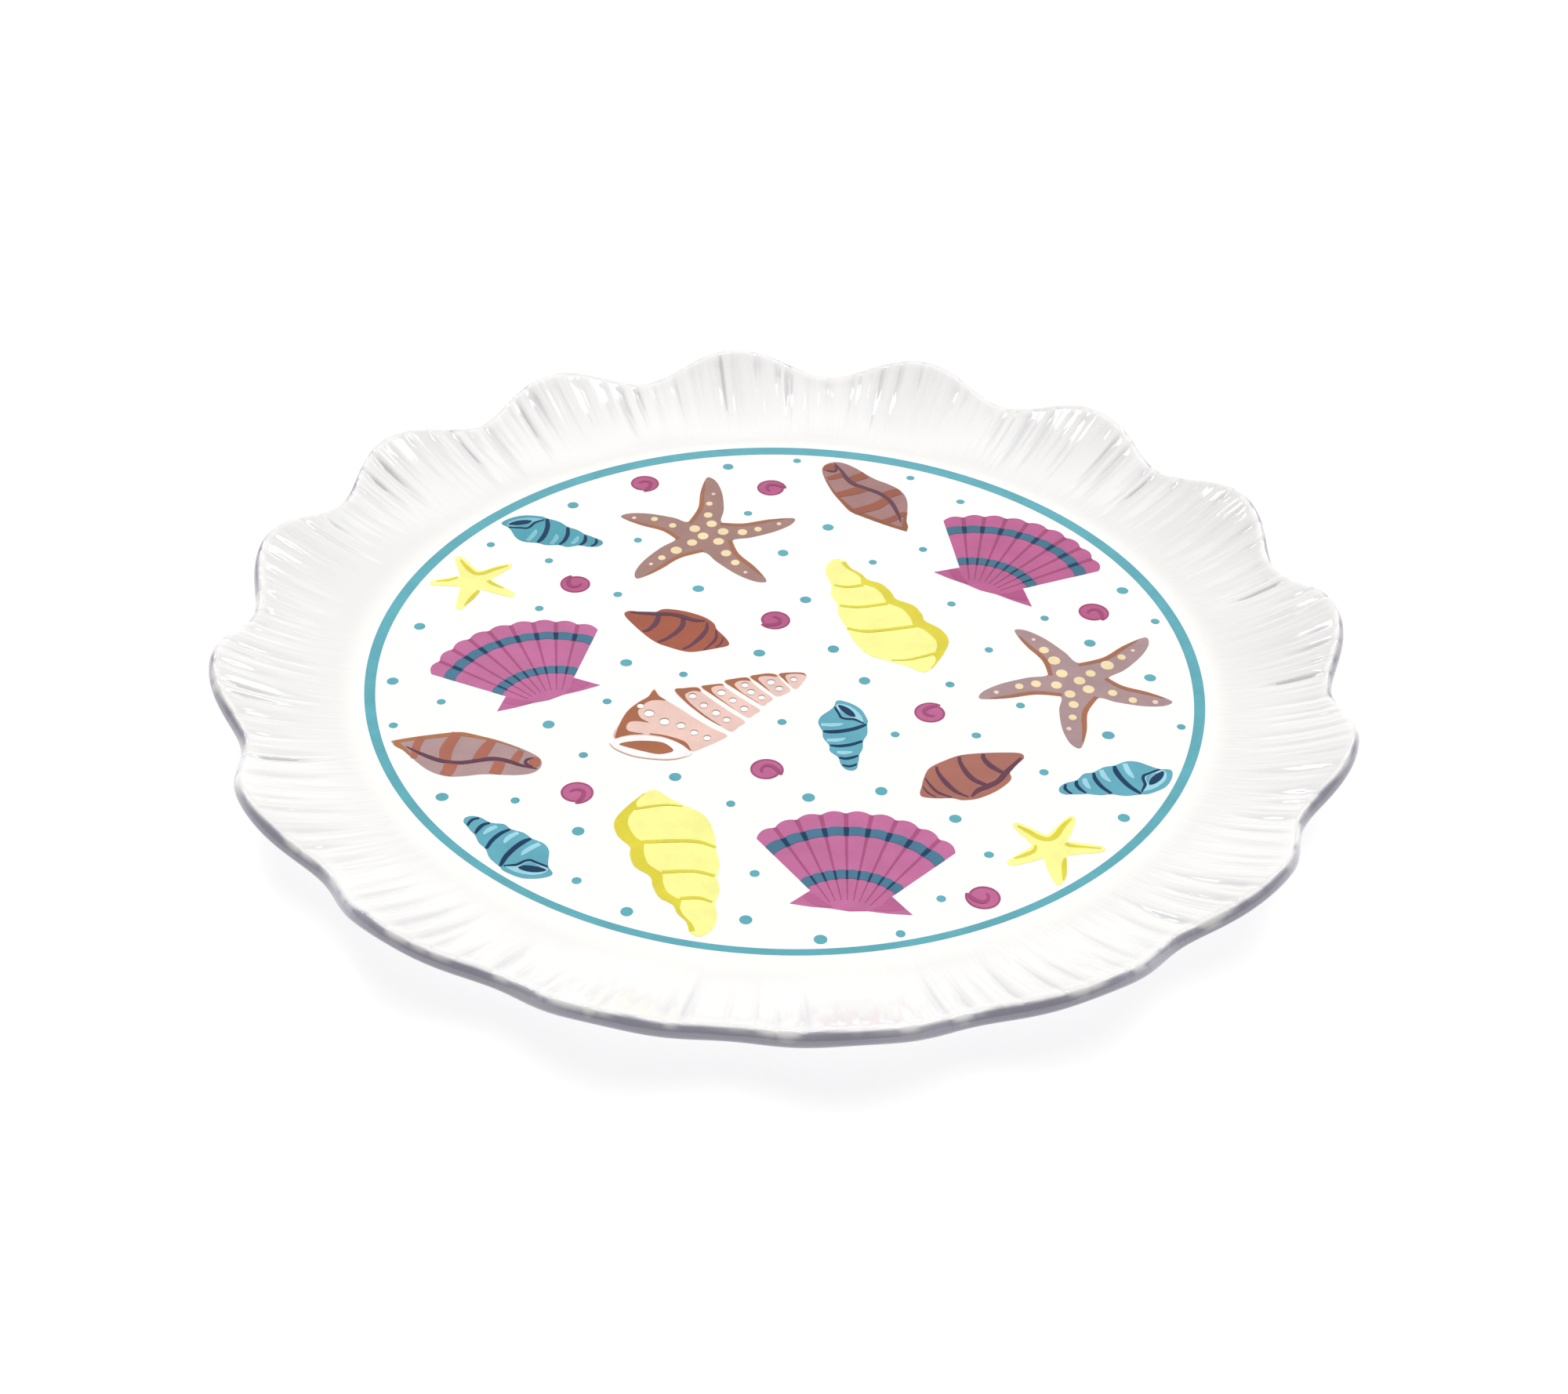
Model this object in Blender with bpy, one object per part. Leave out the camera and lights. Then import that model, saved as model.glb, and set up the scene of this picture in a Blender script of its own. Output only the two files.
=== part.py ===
"""Souvenir plate: a scalloped ceramic plate with a printed pattern of sea shells.

The plate is one fired body: a flat round well, a rim that sweeps up into sixteen
scallops, and a foot ring below. The colour lies on the well as separate films of
fired enamel, one for each motif and one ring round the edge of the well.

The script works in millimetres and turns them into metres when it makes a mesh.
The origin is the centre of the foot ring's resting plane, with +Z up.
"""

import math

import bmesh
import bpy

MM = 0.001

# The plate's section.
WELL_TOP = 8.0
WELL_THICKNESS = 5.0
WELL_RADIUS = 103.5
LIP_THICKNESS = 4.0
LIP_RADIUS = 131.1
LIP_HEIGHT = 15.0
RIM_POWER = 1.5
RIM_STATIONS = 9
NOSE_STEPS = 4

# The foot ring, which carries the plate.
FOOT_OUTER = 84.0
FOOT_INNER = 81.0
FOOT_EDGE = 0.5
FOOT_FLARE = 1.6

# The scallops of the rim: each crest stands out and up, each valley in and down.
LOBES = 16
LOBE_PHASE = math.radians(7.2)
LOBE_START = 106.0
LOBE_OUT = 2.9
LOBE_SHARPEN = 0.28
LOBE_UP = 2.5
LOBE_POWER = 1.5
STEPS_PER_LOBE = 8

# The enamel films.
FILM_GAP = 0.3
FILM_THICKNESS = 0.25
BAND_OUTER = 100.4
BAND_INNER = 97.7
BAND_STEPS = 96

# Colours are linear RGB.
GLAZE_WHITE = (0.93, 0.92, 0.89)
TEAL = (0.127, 0.392, 0.497)
SHELL_PINK = (0.597, 0.156, 0.376)
STAR_BROWN = (0.402, 0.250, 0.209)
SHELL_YELLOW = (0.965, 0.905, 0.320)
SNAIL_RUST = (0.402, 0.113, 0.061)
OLIVE_MAUVE = (0.445, 0.314, 0.300)
WHELK_TEAL = (0.115, 0.439, 0.552)
AUGER_BLUSH = (0.831, 0.560, 0.479)
SPIRAL_PINK = (0.539, 0.098, 0.310)


def clear_scene():
    for thing in list(bpy.data.objects):
        bpy.data.objects.remove(thing, do_unlink=True)


def finish_material(name, colour, roughness):
    material = bpy.data.materials.new(name)
    material.use_nodes = True
    shader = material.node_tree.nodes["Principled BSDF"]
    shader.inputs["Base Color"].default_value = (*colour, 1.0)
    shader.inputs["Roughness"].default_value = roughness
    shader.inputs["Metallic"].default_value = 0.0
    return material


def add_object(name, bm, colour, roughness=0.15):
    """Turns a bmesh in millimetres into a smooth-shaded object with its own material."""
    bmesh.ops.scale(bm, vec=(MM, MM, MM), verts=bm.verts)
    bmesh.ops.recalc_face_normals(bm, faces=bm.faces)
    mesh = bpy.data.meshes.new(name)
    bm.to_mesh(mesh)
    bm.free()
    mesh.shade_smooth()
    mesh.set_sharp_from_angle(angle=math.radians(35))
    mesh.materials.append(finish_material(name + "_finish", colour, roughness))
    thing = bpy.data.objects.new(name, mesh)
    bpy.context.scene.collection.objects.link(thing)
    return thing


def spin_profile(profile, steps):
    """Spins (radius, height) points round the Z axis into one closed surface."""
    bm = bmesh.new()
    verts = [bm.verts.new((r, 0.0, z)) for r, z in profile]
    edges = [bm.edges.new(pair) for pair in zip(verts, verts[1:])]
    bmesh.ops.spin(
        bm,
        geom=verts + edges,
        cent=(0, 0, 0),
        axis=(0, 0, 1),
        angle=math.tau,
        steps=steps,
        use_merge=True,
    )
    bmesh.ops.remove_doubles(bm, verts=bm.verts, dist=0.0001)
    return bm


# --- the plate body ---------------------------------------------------------


def rim_layer(share, side):
    """The point of the rim's top (side 1) or underside (side -1), at a share of its width."""
    width = LIP_RADIUS - WELL_RADIUS
    middle = WELL_TOP - WELL_THICKNESS / 2
    rise = LIP_HEIGHT - middle
    slope = math.atan(rise * RIM_POWER * share ** (RIM_POWER - 1) / width)
    half = (WELL_THICKNESS + (LIP_THICKNESS - WELL_THICKNESS) * share) / 2
    r = WELL_RADIUS + width * share - side * half * math.sin(slope)
    z = middle + rise * share**RIM_POWER + side * half * math.cos(slope)
    return r, z, slope


def plate_profile():
    """Half the plate's section, from the middle of the well over the lip to the foot."""
    shares = [i / RIM_STATIONS for i in range(RIM_STATIONS + 1)]
    top = [rim_layer(share, 1)[:2] for share in shares]
    underside = [rim_layer(share, -1)[:2] for share in reversed(shares)]
    lip_slope = rim_layer(1.0, 1)[2]
    nose = []
    for i in range(1, NOSE_STEPS):
        angle = lip_slope + math.pi / 2 - math.pi * i / NOSE_STEPS
        r = LIP_RADIUS + LIP_THICKNESS / 2 * math.cos(angle)
        z = LIP_HEIGHT + LIP_THICKNESS / 2 * math.sin(angle)
        nose.append((r, z))
    well_bottom = WELL_TOP - WELL_THICKNESS
    foot = [
        (FOOT_OUTER + FOOT_FLARE, well_bottom),
        (FOOT_OUTER + FOOT_EDGE, FOOT_EDGE),
        (FOOT_OUTER, 0.0),
        (FOOT_INNER, 0.0),
        (FOOT_INNER - FOOT_EDGE, FOOT_EDGE),
        (FOOT_INNER - FOOT_FLARE, well_bottom),
        (0.0, well_bottom),
    ]
    return [(0.0, WELL_TOP)] + top + nose + underside + foot


def wave_rim(bm):
    """Moves the rim's points out and up at the crests, and in and down at the valleys."""
    for vert in bm.verts:
        r = math.hypot(vert.co.x, vert.co.y)
        if r <= LOBE_START:
            continue
        share = min(1.0, (r - LOBE_START) / (LIP_RADIUS - LOBE_START))
        blend = share**LOBE_POWER
        turn = LOBES * (math.atan2(vert.co.y, vert.co.x) - LOBE_PHASE)
        out = LOBE_OUT * math.cos(turn) - LOBE_SHARPEN * math.cos(2 * turn)
        stretch = (r + blend * out) / r
        vert.co.x *= stretch
        vert.co.y *= stretch
        vert.co.z += blend * LOBE_UP * math.cos(turn)


def make_plate_body():
    bm = spin_profile(plate_profile(), LOBES * STEPS_PER_LOBE)
    wave_rim(bm)
    add_object("plate_body", bm, GLAZE_WHITE, roughness=0.08)


def make_rim_band():
    low = WELL_TOP + FILM_GAP
    high = low + FILM_THICKNESS
    section = [
        (BAND_INNER, low),
        (BAND_OUTER, low),
        (BAND_OUTER, high),
        (BAND_INNER, high),
        (BAND_INNER, low),
    ]
    bm = spin_profile(section, BAND_STEPS)
    add_object("rim_band", bm, TEAL)


# --- outlines of the motifs, each round its own middle ----------------------


def smooth_loop(points, extra=1):
    """A closed curve through the points, with extra points between each two of them."""
    loop = []
    count = len(points)
    for i in range(count):
        before, start, end, after = (points[(i + k) % count] for k in (-1, 0, 1, 2))
        for j in range(extra + 1):
            t = j / (extra + 1)
            loop.append(
                tuple(
                    0.5 * (2 * b + (c - a) * t + (2 * a - 5 * b + 4 * c - d) * t**2
                           + (3 * b - a - 3 * c + d) * t**3)
                    for a, b, c, d in zip(before, start, end, after)
                )
            )
    return loop


def polar(radius, angle):
    return radius * math.cos(angle), radius * math.sin(angle)


def scallop_outline():
    """A fan of nine ribs that opens to +Y from its focus, with an ear on each side."""
    ribs = 9
    steps = 4
    half_angle = math.radians(39.7)
    neck = 13.9
    fan = []
    for i in range(ribs * steps + 1):
        share = 2 * i / (ribs * steps) - 1
        lobe = abs(math.sin(math.pi * i / steps))
        radius = 37.4 - 2.9 * share**2 + 1.1 * lobe
        fan.append(polar(radius, math.pi / 2 - share * half_angle))
    neck_right = polar(neck, math.pi / 2 - half_angle)
    neck_left = polar(neck, math.pi / 2 + half_angle)
    ears = [(13.6, 5.2), (4.0, 5.4), (0.0, 4.9), (-4.0, 5.4), (-13.0, 6.0)]
    return fan + [neck_right] + ears + [neck_left]


def star_outline(arms, crotch, widths):
    """A five-armed star. arms is a list of (degrees, length), in turning order.

    widths is a list of (share of the arm's length, width before it, width behind it),
    where before is the side that the turning order meets first.
    """
    outline = []
    for i, (degrees, length) in enumerate(arms):
        angle = math.radians(degrees)
        along = (math.cos(angle), math.sin(angle))
        across = (-along[1], along[0])
        first_side = [(share, -before) for share, before, _ in widths]
        second_side = [(share, behind) for share, _, behind in reversed(widths)]
        for share, off in first_side + [(1.0, 0.0)] + second_side:
            outline.append(
                tuple(length * share * a + off * b for a, b in zip(along, across))
            )
        next_degrees = arms[(i + 1) % len(arms)][0]
        gap = (next_degrees - degrees) % 360
        outline.append(polar(crotch, angle + math.radians(gap) / 2))
    return outline


def starfish_outline(arms):
    """A large starfish whose arms are fuller on the side that comes first."""
    widths = [(0.45, 4.6, 2.2), (0.72, 3.9, 1.9), (0.92, 1.7, 1.0)]
    return star_outline(arms, 7.6, widths)


def small_star_outline(arms):
    """A small starfish with even arms."""
    widths = [(0.5, 2.0, 2.0), (0.9, 1.1, 1.1)]
    return star_outline(arms, 4.4, widths)


def conch_outline():
    """A spired shell: five whorls that step down one side, and a beak at the wide end."""
    straight_side = [(-10.8, 23.6), (-13.0, 20.6), (-13.1, 16.6), (-11.8, 12.0),
                     (-11.8, 7.6), (-10.2, 3.2), (-10.0, -0.8), (-8.1, -6.0),
                     (-6.2, -11.8), (-2.8, -17.2), (2.2, -19.6)]
    beak = [(6.2, -21.4), (10.4, -23.8), (12.9, -21.8), (15.8, -15.8)]
    stepped_side = [(17.1, -10.4), (15.2, -5.8), (11.5, -2.6), (10.8, 0.2),
                    (8.8, 3.9), (4.6, 6.4), (3.2, 9.6), (0.8, 13.0),
                    (-2.5, 14.6), (-4.2, 17.2), (-6.8, 19.6), (-8.2, 22.6)]
    return smooth_loop(straight_side + beak + stepped_side)


def snail_outline():
    """A short fat shell, pointed at the tip of its spire and at its canal."""
    belly = [(-12.1, -7.6), (-9.0, -8.4), (-5.0, -8.2), (-2.5, -8.8), (1.0, -8.0),
             (5.0, -5.4), (8.0, -2.2), (8.9, -0.2), (8.7, 2.0)]
    canal = [(10.7, 5.0), (12.2, 7.2), (11.3, 8.9), (6.5, 8.9)]
    back = [(1.0, 8.3), (-3.0, 7.3), (-6.0, 5.5), (-8.5, 3.7), (-10.2, 1.8),
            (-11.2, -1.3), (-11.7, -3.9)]
    return smooth_loop(belly + canal + back)


def olive_outline():
    """A long smooth shell, pointed at one end and round at the other."""
    belly = [(-17.7, 3.5), (-15.5, 1.5), (-12.0, -2.5), (-8.0, -6.5), (-4.0, -8.5),
             (0.0, -8.5), (5.0, -7.5), (12.0, -7.5)]
    round_end = [(16.0, -6.5), (17.7, -4.0), (17.0, -1.0)]
    back = [(13.0, 2.0), (6.5, 5.2), (-0.5, 7.3), (-2.5, 7.7), (-6.0, 7.0),
            (-11.0, 5.8), (-15.0, 4.5)]
    return smooth_loop(belly + round_end + back)


def whelk_outline():
    """A small spired shell, its tip towards -Y and its mouth towards +Y."""
    lip_side = [(1.5, -13.1), (2.5, -12.2), (2.7, -10.8), (3.0, -8.7), (3.1, -7.2),
                (3.9, -4.7), (4.0, -2.1), (5.0, 0.8), (5.0, 4.3), (5.1, 6.0)]
    mouth = [(3.7, 9.8), (1.5, 12.0), (-1.0, 13.2), (-2.3, 12.9), (-2.8, 10.8)]
    back = [(-4.0, 9.1), (-5.9, 6.8), (-6.5, 4.3), (-5.5, 1.2), (-5.3, -1.2),
            (-3.9, -4.0), (-3.7, -6.2), (-1.8, -8.4), (-1.2, -11.0), (0.0, -12.7)]
    return smooth_loop(lip_side + mouth + back)


def auger_outline():
    """A long spire whose tip points to +X and +Y, with a round mouth at its wide end."""
    mouth = [(-23.2, -11.5), (-22.5, -14.5), (-19.0, -17.0), (-12.0, -18.0), (-6.0, -16.5)]
    lower_side = [(-3.8, -14.8), (1.0, -11.7), (4.5, -8.2), (8.0, -2.5), (11.5, 2.0),
                  (14.0, 6.5), (16.0, 9.5), (19.5, 10.5)]
    tip = [(22.0, 15.8), (21.5, 16.8), (18.0, 17.0)]
    upper_side = [(12.0, 16.3), (8.0, 14.5), (2.5, 13.0), (-3.0, 10.2), (-9.5, 8.7),
                  (-11.0, 4.5), (-14.0, 8.8), (-16.0, 5.5), (-19.0, 2.0), (-21.0, -3.0)]
    return smooth_loop(mouth + lower_side + tip + upper_side)


def spiral_outline():
    """A round snail curl: one turn that closes in on itself, with a step where it meets."""
    steps = 20
    outline = []
    for i in range(steps + 1):
        share = i / steps
        radius = 4.1 - 0.7 * share
        outline.append(polar(radius, math.radians(-88) + math.tau * 0.99 * share))
    return outline


# --- the enamel films -------------------------------------------------------

# Each motif is (node name, outline, x, y, turn in degrees, scale), placed by its own
# middle. The starfish differ from each other, so each has arms of its own.
STARFISH_BACK_ARMS = [(21, 25.0), (90, 28.0), (160, 23.5), (231, 26.0), (309, 26.0)]
STARFISH_RIGHT_ARMS = [(46, 26.3), (124, 25.1), (197, 25.4), (266, 25.9), (342, 23.0)]
SMALL_STAR_FRONT_ARMS = [(0, 12.0), (63, 12.3), (135, 11.3), (211, 11.7), (274, 12.5)]
SMALL_STAR_LEFT_ARMS = [(41, 11.5), (117, 11.7), (189, 11.1), (260, 13.0), (330, 12.5)]

SCALLOPS = [
    ("scallop_front", scallop_outline(), 14.8, -90.8, -3.9, 1.00),
    ("scallop_left", scallop_outline(), -53.5, -18.9, 27.5, 0.98),
    ("scallop_right", scallop_outline(), 46.0, 31.3, -28.5, 1.05),
]
STARFISH = [
    ("starfish_back", starfish_outline(STARFISH_BACK_ARMS), -22.0, 57.0, 0.0, 1.0),
    ("starfish_right", starfish_outline(STARFISH_RIGHT_ARMS), 70.5, -1.5, 0.0, 1.0),
]
SMALL_STARS = [
    ("small_star_front", small_star_outline(SMALL_STAR_FRONT_ARMS), 60.0, -63.0, 0.0, 1.0),
    ("small_star_left", small_star_outline(SMALL_STAR_LEFT_ARMS), -79.0, 33.8, 0.0, 1.0),
]
CONCHS = [
    ("conch_back", conch_outline(), 22.7, 24.4, 0.0, 1.00),
    ("conch_front", conch_outline(), -22.8, -71.1, 170.0, 0.96),
]
SNAILS = [
    ("snail_front", snail_outline(), 43.5, -38.6, 0.0, 1.0),
    ("snail_left", snail_outline(), -26.8, 15.8, 121.2, 1.0),
]
OLIVES = [
    ("olive_left", olive_outline(), -73.0, -35.5, 0.0, 1.00),
    ("olive_back", olive_outline(), 20.1, 77.5, 134.5, 1.05),
]
WHELKS = [
    ("whelk_middle", whelk_outline(), 14.5, -24.8, 0.0, 1.00),
    ("whelk_right", whelk_outline(), 76.3, -39.2, -78.7, 1.05),
    ("whelk_back", whelk_outline(), -61.2, 56.2, 65.8, 1.06),
    ("whelk_front", whelk_outline(), -60.2, -67.8, -138.3, 1.05),
]
AUGERS = [
    ("auger", auger_outline(), -17.0, -18.0, 0.0, 1.0),
]
SPIRALS = [
    ("spiral_1", spiral_outline(), -39.0, 81.0, 0.0, 1.0),
    ("spiral_2", spiral_outline(), -5.2, 80.5, 90.0, 1.0),
    ("spiral_3", spiral_outline(), -53.3, 33.5, 200.0, 1.0),
    ("spiral_4", spiral_outline(), -3.0, 20.5, 300.0, 1.0),
    ("spiral_5", spiral_outline(), 76.3, 27.6, 30.0, 1.0),
    ("spiral_6", spiral_outline(), 34.5, -15.4, 140.0, 1.0),
    ("spiral_7", spiral_outline(), -3.8, -38.4, 60.0, 1.0),
    ("spiral_8", spiral_outline(), -46.5, -48.6, 0.0, 1.0),
    ("spiral_9", spiral_outline(), 44.2, -80.1, 250.0, 1.0),
]

MOTIFS = [
    (SCALLOPS, SHELL_PINK),
    (STARFISH, STAR_BROWN),
    (SMALL_STARS, SHELL_YELLOW),
    (CONCHS, SHELL_YELLOW),
    (SNAILS, SNAIL_RUST),
    (OLIVES, OLIVE_MAUVE),
    (WHELKS, WHELK_TEAL),
    (AUGERS, AUGER_BLUSH),
    (SPIRALS, SPIRAL_PINK),
]


def make_film(name, outline, x, y, turn, scale, colour):
    """A thin flat prism with the given outline, lying over the well."""
    bm = bmesh.new()
    base = bm.faces.new([bm.verts.new((px * scale, py * scale, 0.0)) for px, py in outline])
    grown = bmesh.ops.extrude_face_region(bm, geom=[base])
    raised = [item for item in grown["geom"] if isinstance(item, bmesh.types.BMVert)]
    bmesh.ops.translate(bm, vec=(0, 0, FILM_THICKNESS), verts=raised)
    film = add_object(name, bm, colour)
    film.location = (x * MM, y * MM, (WELL_TOP + FILM_GAP) * MM)
    film.rotation_euler = (0, 0, math.radians(turn))


def make_films():
    for placed, colour in MOTIFS:
        for motif in placed:
            make_film(*motif, colour)


clear_scene()
make_plate_body()
make_rim_band()
make_films()
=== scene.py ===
"""The looks of the souvenir plate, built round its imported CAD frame.

The glazed body, with its flutes, replaces the CAD body. Every printed motif is a stack of
very thin enamel shapes that lies on the glaze and replaces one CAD film. All lengths are in
millimetres up to new_piece(), which turns them into metres, and in metres in the studio. A
motif is drawn round its own middle, and PRINTS says where it lies on the plate.
"""

import math
import random

import bmesh
import bpy
from mathutils import Matrix, Vector


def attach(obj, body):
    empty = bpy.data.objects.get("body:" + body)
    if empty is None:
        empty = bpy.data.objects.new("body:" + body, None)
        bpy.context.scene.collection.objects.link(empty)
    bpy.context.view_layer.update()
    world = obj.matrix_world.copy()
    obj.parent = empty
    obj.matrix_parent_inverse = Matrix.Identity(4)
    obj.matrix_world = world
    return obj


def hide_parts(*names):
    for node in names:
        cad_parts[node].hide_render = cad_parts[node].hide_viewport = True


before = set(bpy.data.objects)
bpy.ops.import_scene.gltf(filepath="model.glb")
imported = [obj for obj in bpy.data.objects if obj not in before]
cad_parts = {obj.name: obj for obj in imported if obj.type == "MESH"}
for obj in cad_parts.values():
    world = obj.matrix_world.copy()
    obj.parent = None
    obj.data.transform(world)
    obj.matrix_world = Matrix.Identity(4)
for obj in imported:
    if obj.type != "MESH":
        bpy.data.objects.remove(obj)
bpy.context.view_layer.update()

MM = 0.001

# The plate's section, as in the CAD part.
WELL_TOP = 8.0
WELL_THICKNESS = 5.0
WELL_RADIUS = 103.5
LIP_THICKNESS = 4.0
LIP_RADIUS = 131.1
LIP_HEIGHT = 15.0
RIM_POWER = 1.5
FOOT_OUTER = 84.0
FOOT_INNER = 81.0
FOOT_EDGE = 0.5
FOOT_CORNER = (0.25, 0.6)
FOOT_FLARE = 1.6
FOOT_ROOT = (1.0, 0.15)

# The scallops of the rim, as in the CAD part.
LOBES = 16
LOBE_PHASE = math.radians(7.2)
LOBE_START = 106.0
LOBE_OUT = 2.9
LOBE_SHARPEN = 0.28
LOBE_UP = 2.5
LOBE_POWER = 1.5

# How finely the glazed body is divided.
AROUND = 2048
AROUND_UNDERSIDE = 1024
AROUND_COARSE = 512
AROUND_MIDDLE = 128
RIM_STATIONS = 28
NOSE_STEPS = 8
NOSE_POWER = 2.8
UNDERSIDE_STATIONS = 10
WELL_MARGIN = 1.5
BOTTOM_MARGIN = 10.0
SHARP_EDGE = math.radians(50)

# The flutes of the rim: domes between creases that fade in towards the lip, with finer
# flutes over them. Each set is (number of creases, greatest depth, random seed).
FLUTE_SETS = [(144, 0.76, 11), (304, 0.20, 23)]
FLUTE_POWER = 2.4
FLUTE_JITTER = 0.36
FLUTE_LEAST = 0.25
FLUTE_START = 106.0
FLUTE_START_SPREAD = 12.0
FLUTE_START_POWER = 1.5
FLUTE_RISE = 16.0
FLUTE_END = 127.0
FLUTE_FADED = LIP_RADIUS - 1.1
LIP_SHARE = 0.45
LIP_FADING = 1.6
UNDERSIDE_SHARE = 0.3
UNDERSIDE_RISE = 3

# Where the glaze turns greyer by painted shade, outside the ring.
GREY_START = 101.0
GREY_WIDTH = 7.0

# Where the painted shade of the lip begins, as a share of the way from its top round to its
# underside, and
# the waves that make that line uneven: (count round the plate, size, phase).
LIP_SHADE_START = 0.25
LIP_SHADE_BUMP = 0.10
LIP_SHADE_BLEND = 0.20
LIP_SHADE_WAVES = [(23, 0.06, 0.7), (41, 0.06, 2.9), (67, 0.05, 5.1)]
UNDERSIDE_PALER = 0.75

# The teal ring. Its outer circle is moved to the back by the shift, its inner one to the front.
RING_INNER = 97.9
RING_OUTER = 100.6
RING_SHIFT = 0.4

# The enamel shapes: the first layer lies just over the glaze, and each next one on top.
PRINT_GAP = 0.01
PRINT_THICKNESS = 0.03
LAYER_STEP = 0.035
CURVE_STEPS = 5
OVAL_STEPS = 28
LEAST_WIDTH = 0.05


# --- curves and outlines ----------------------------------------------------


def polar(radius, angle):
    return radius * math.cos(angle), radius * math.sin(angle)


def catmull(before, start, end, after, t):
    """A point between start and end on the smooth curve through all four."""
    return tuple(
        0.5 * (2 * b + (c - a) * t + (2 * a - 5 * b + 4 * c - d) * t**2
               + (3 * b - a - 3 * c + d) * t**3)
        for a, b, c, d in zip(before, start, end, after)
    )


def smooth_loop(points):
    """A closed smooth curve through the points."""
    count = len(points)
    loop = []
    for i in range(count):
        four = [points[(i + k) % count] for k in (-1, 0, 1, 2)]
        loop += [catmull(*four, j / CURVE_STEPS) for j in range(CURVE_STEPS)]
    return loop


def smooth_path(points):
    """An open smooth curve through the points."""
    padded = [points[0]] + list(points) + [points[-1]]
    path = []
    for i in range(len(points) - 1):
        path += [catmull(*padded[i:i + 4], j / CURVE_STEPS) for j in range(CURVE_STEPS)]
    return path + [points[-1]]


def stroke(points, widths):
    """The outline of a brush line through the points, as wide at each as widths says."""
    path = smooth_path([(x, y, width) for (x, y), width in zip(points, widths)])
    left = []
    right = []
    for i, (x, y, width) in enumerate(path):
        back = path[max(i - 1, 0)]
        ahead = path[min(i + 1, len(path) - 1)]
        dx = ahead[0] - back[0]
        dy = ahead[1] - back[1]
        half = max(width, LEAST_WIDTH) / 2 / math.hypot(dx, dy)
        left.append((x - dy * half, y + dx * half))
        right.append((x + dy * half, y - dx * half))
    return left + right[::-1]


def oval(x, y, across, up):
    """An ellipse with the given half widths."""
    angles = [math.tau * i / OVAL_STEPS for i in range(OVAL_STEPS)]
    return [(x + across * math.cos(a), y + up * math.sin(a)) for a in angles]


# --- materials --------------------------------------------------------------


def linear(*levels):
    """A colour given as 0 to 255 screen levels, in linear light, with full alpha."""
    parts = [level / 255 for level in levels]
    light = [p / 12.92 if p <= 0.04045 else ((p + 0.055) / 1.055) ** 2.4 for p in parts]
    return (*light, 1.0)


# The glaze's colours: its own in the well, then painted shade over the rim, in its creases and round
# the lip.
GLAZE_WELL = (linear(255, 253, 249), linear(254, 252, 249))
RIM_SHADE_COLOUR = linear(242, 240, 238)
CREASE_SHADE_COLOUR = linear(225, 225, 228)
LIP_SHADE_COLOUR = linear(160, 158, 171)
BARE_CLAY = (linear(226, 214, 196), linear(205, 191, 170))
FLOOR_TONES = (linear(175, 175, 175), linear(173, 173, 173))

# Noise scales, in waves per metre, but STREAKS_ROUND in waves per radian round the plate.
FLOOR_CLOUDS = 3.0
GLAZE_PATCHES = 14.0
STREAKS_ROUND = 65.0
STREAKS_OUTWARD = 70.0
GLAZE_RIPPLES = 90.0
ENAMEL_DRIFT = 130.0
GLAZE_GLOSS = 260.0
ENAMEL_GLOSS = 700.0
CLAY_GRAIN = 900.0
CLAY_PITS = 1500.0
ENAMEL_PITS = 1800.0
ENAMEL_GRAIN = 2400.0


def scaled(colour, factor):
    return (*(min(1.0, part * factor) for part in colour[:3]), 1.0)


def new_shader(name):
    material = bpy.data.materials.new(name)
    material.use_nodes = True
    tree = material.node_tree
    return material, tree, tree.nodes["Principled BSDF"]


def object_place(tree):
    """The place on the piece in metres, so that a pattern keeps its size on every piece."""
    return tree.nodes.new("ShaderNodeTexCoord").outputs["Object"]


def noise_at(tree, place, scale, detail=3.0):
    texture = tree.nodes.new("ShaderNodeTexNoise")
    texture.inputs["Scale"].default_value = scale
    texture.inputs["Detail"].default_value = detail
    tree.links.new(place, texture.inputs["Vector"])
    return texture.outputs["Fac"]


def noise(tree, scale, detail=3.0):
    return noise_at(tree, object_place(tree), scale, detail)


def remap(tree, value, low_in, high_in, low_out, high_out, kind="LINEAR"):
    node = tree.nodes.new("ShaderNodeMapRange")
    node.interpolation_type = kind
    numbers = {"From Min": low_in, "From Max": high_in, "To Min": low_out, "To Max": high_out}
    for name, number in numbers.items():
        node.inputs[name].default_value = number
    tree.links.new(value, node.inputs["Value"])
    return node.outputs["Result"]


def fill(tree, sockets, values):
    """Gives each socket its fixed value, or links it to another node's output."""
    for socket, value in zip(sockets, values):
        if isinstance(value, bpy.types.NodeSocket):
            tree.links.new(value, socket)
        else:
            socket.default_value = value


def mix_colours(tree, share, first, second):
    """A colour between first and second, each a fixed colour or another node's output."""
    node = tree.nodes.new("ShaderNodeMix")
    node.data_type = "RGBA"
    tree.links.new(share, node.inputs["Factor"])
    fill(tree, [i for i in node.inputs if i.type == "RGBA"], (first, second))
    return [o for o in node.outputs if o.type == "RGBA"][0]


def bump(tree, shader, height, strength, distance):
    node = tree.nodes.new("ShaderNodeBump")
    node.inputs["Strength"].default_value = strength
    node.inputs["Distance"].default_value = distance
    tree.links.new(height, node.inputs["Height"])
    tree.links.new(node.outputs["Normal"], shader.inputs["Normal"])


def attribute(tree, name):
    node = tree.nodes.new("ShaderNodeAttribute")
    node.attribute_name = name
    return node.outputs["Fac"]


def arithmetic(tree, operation, *values):
    node = tree.nodes.new("ShaderNodeMath")
    node.operation = operation
    fill(tree, node.inputs, values)
    return node.outputs["Value"]


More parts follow.
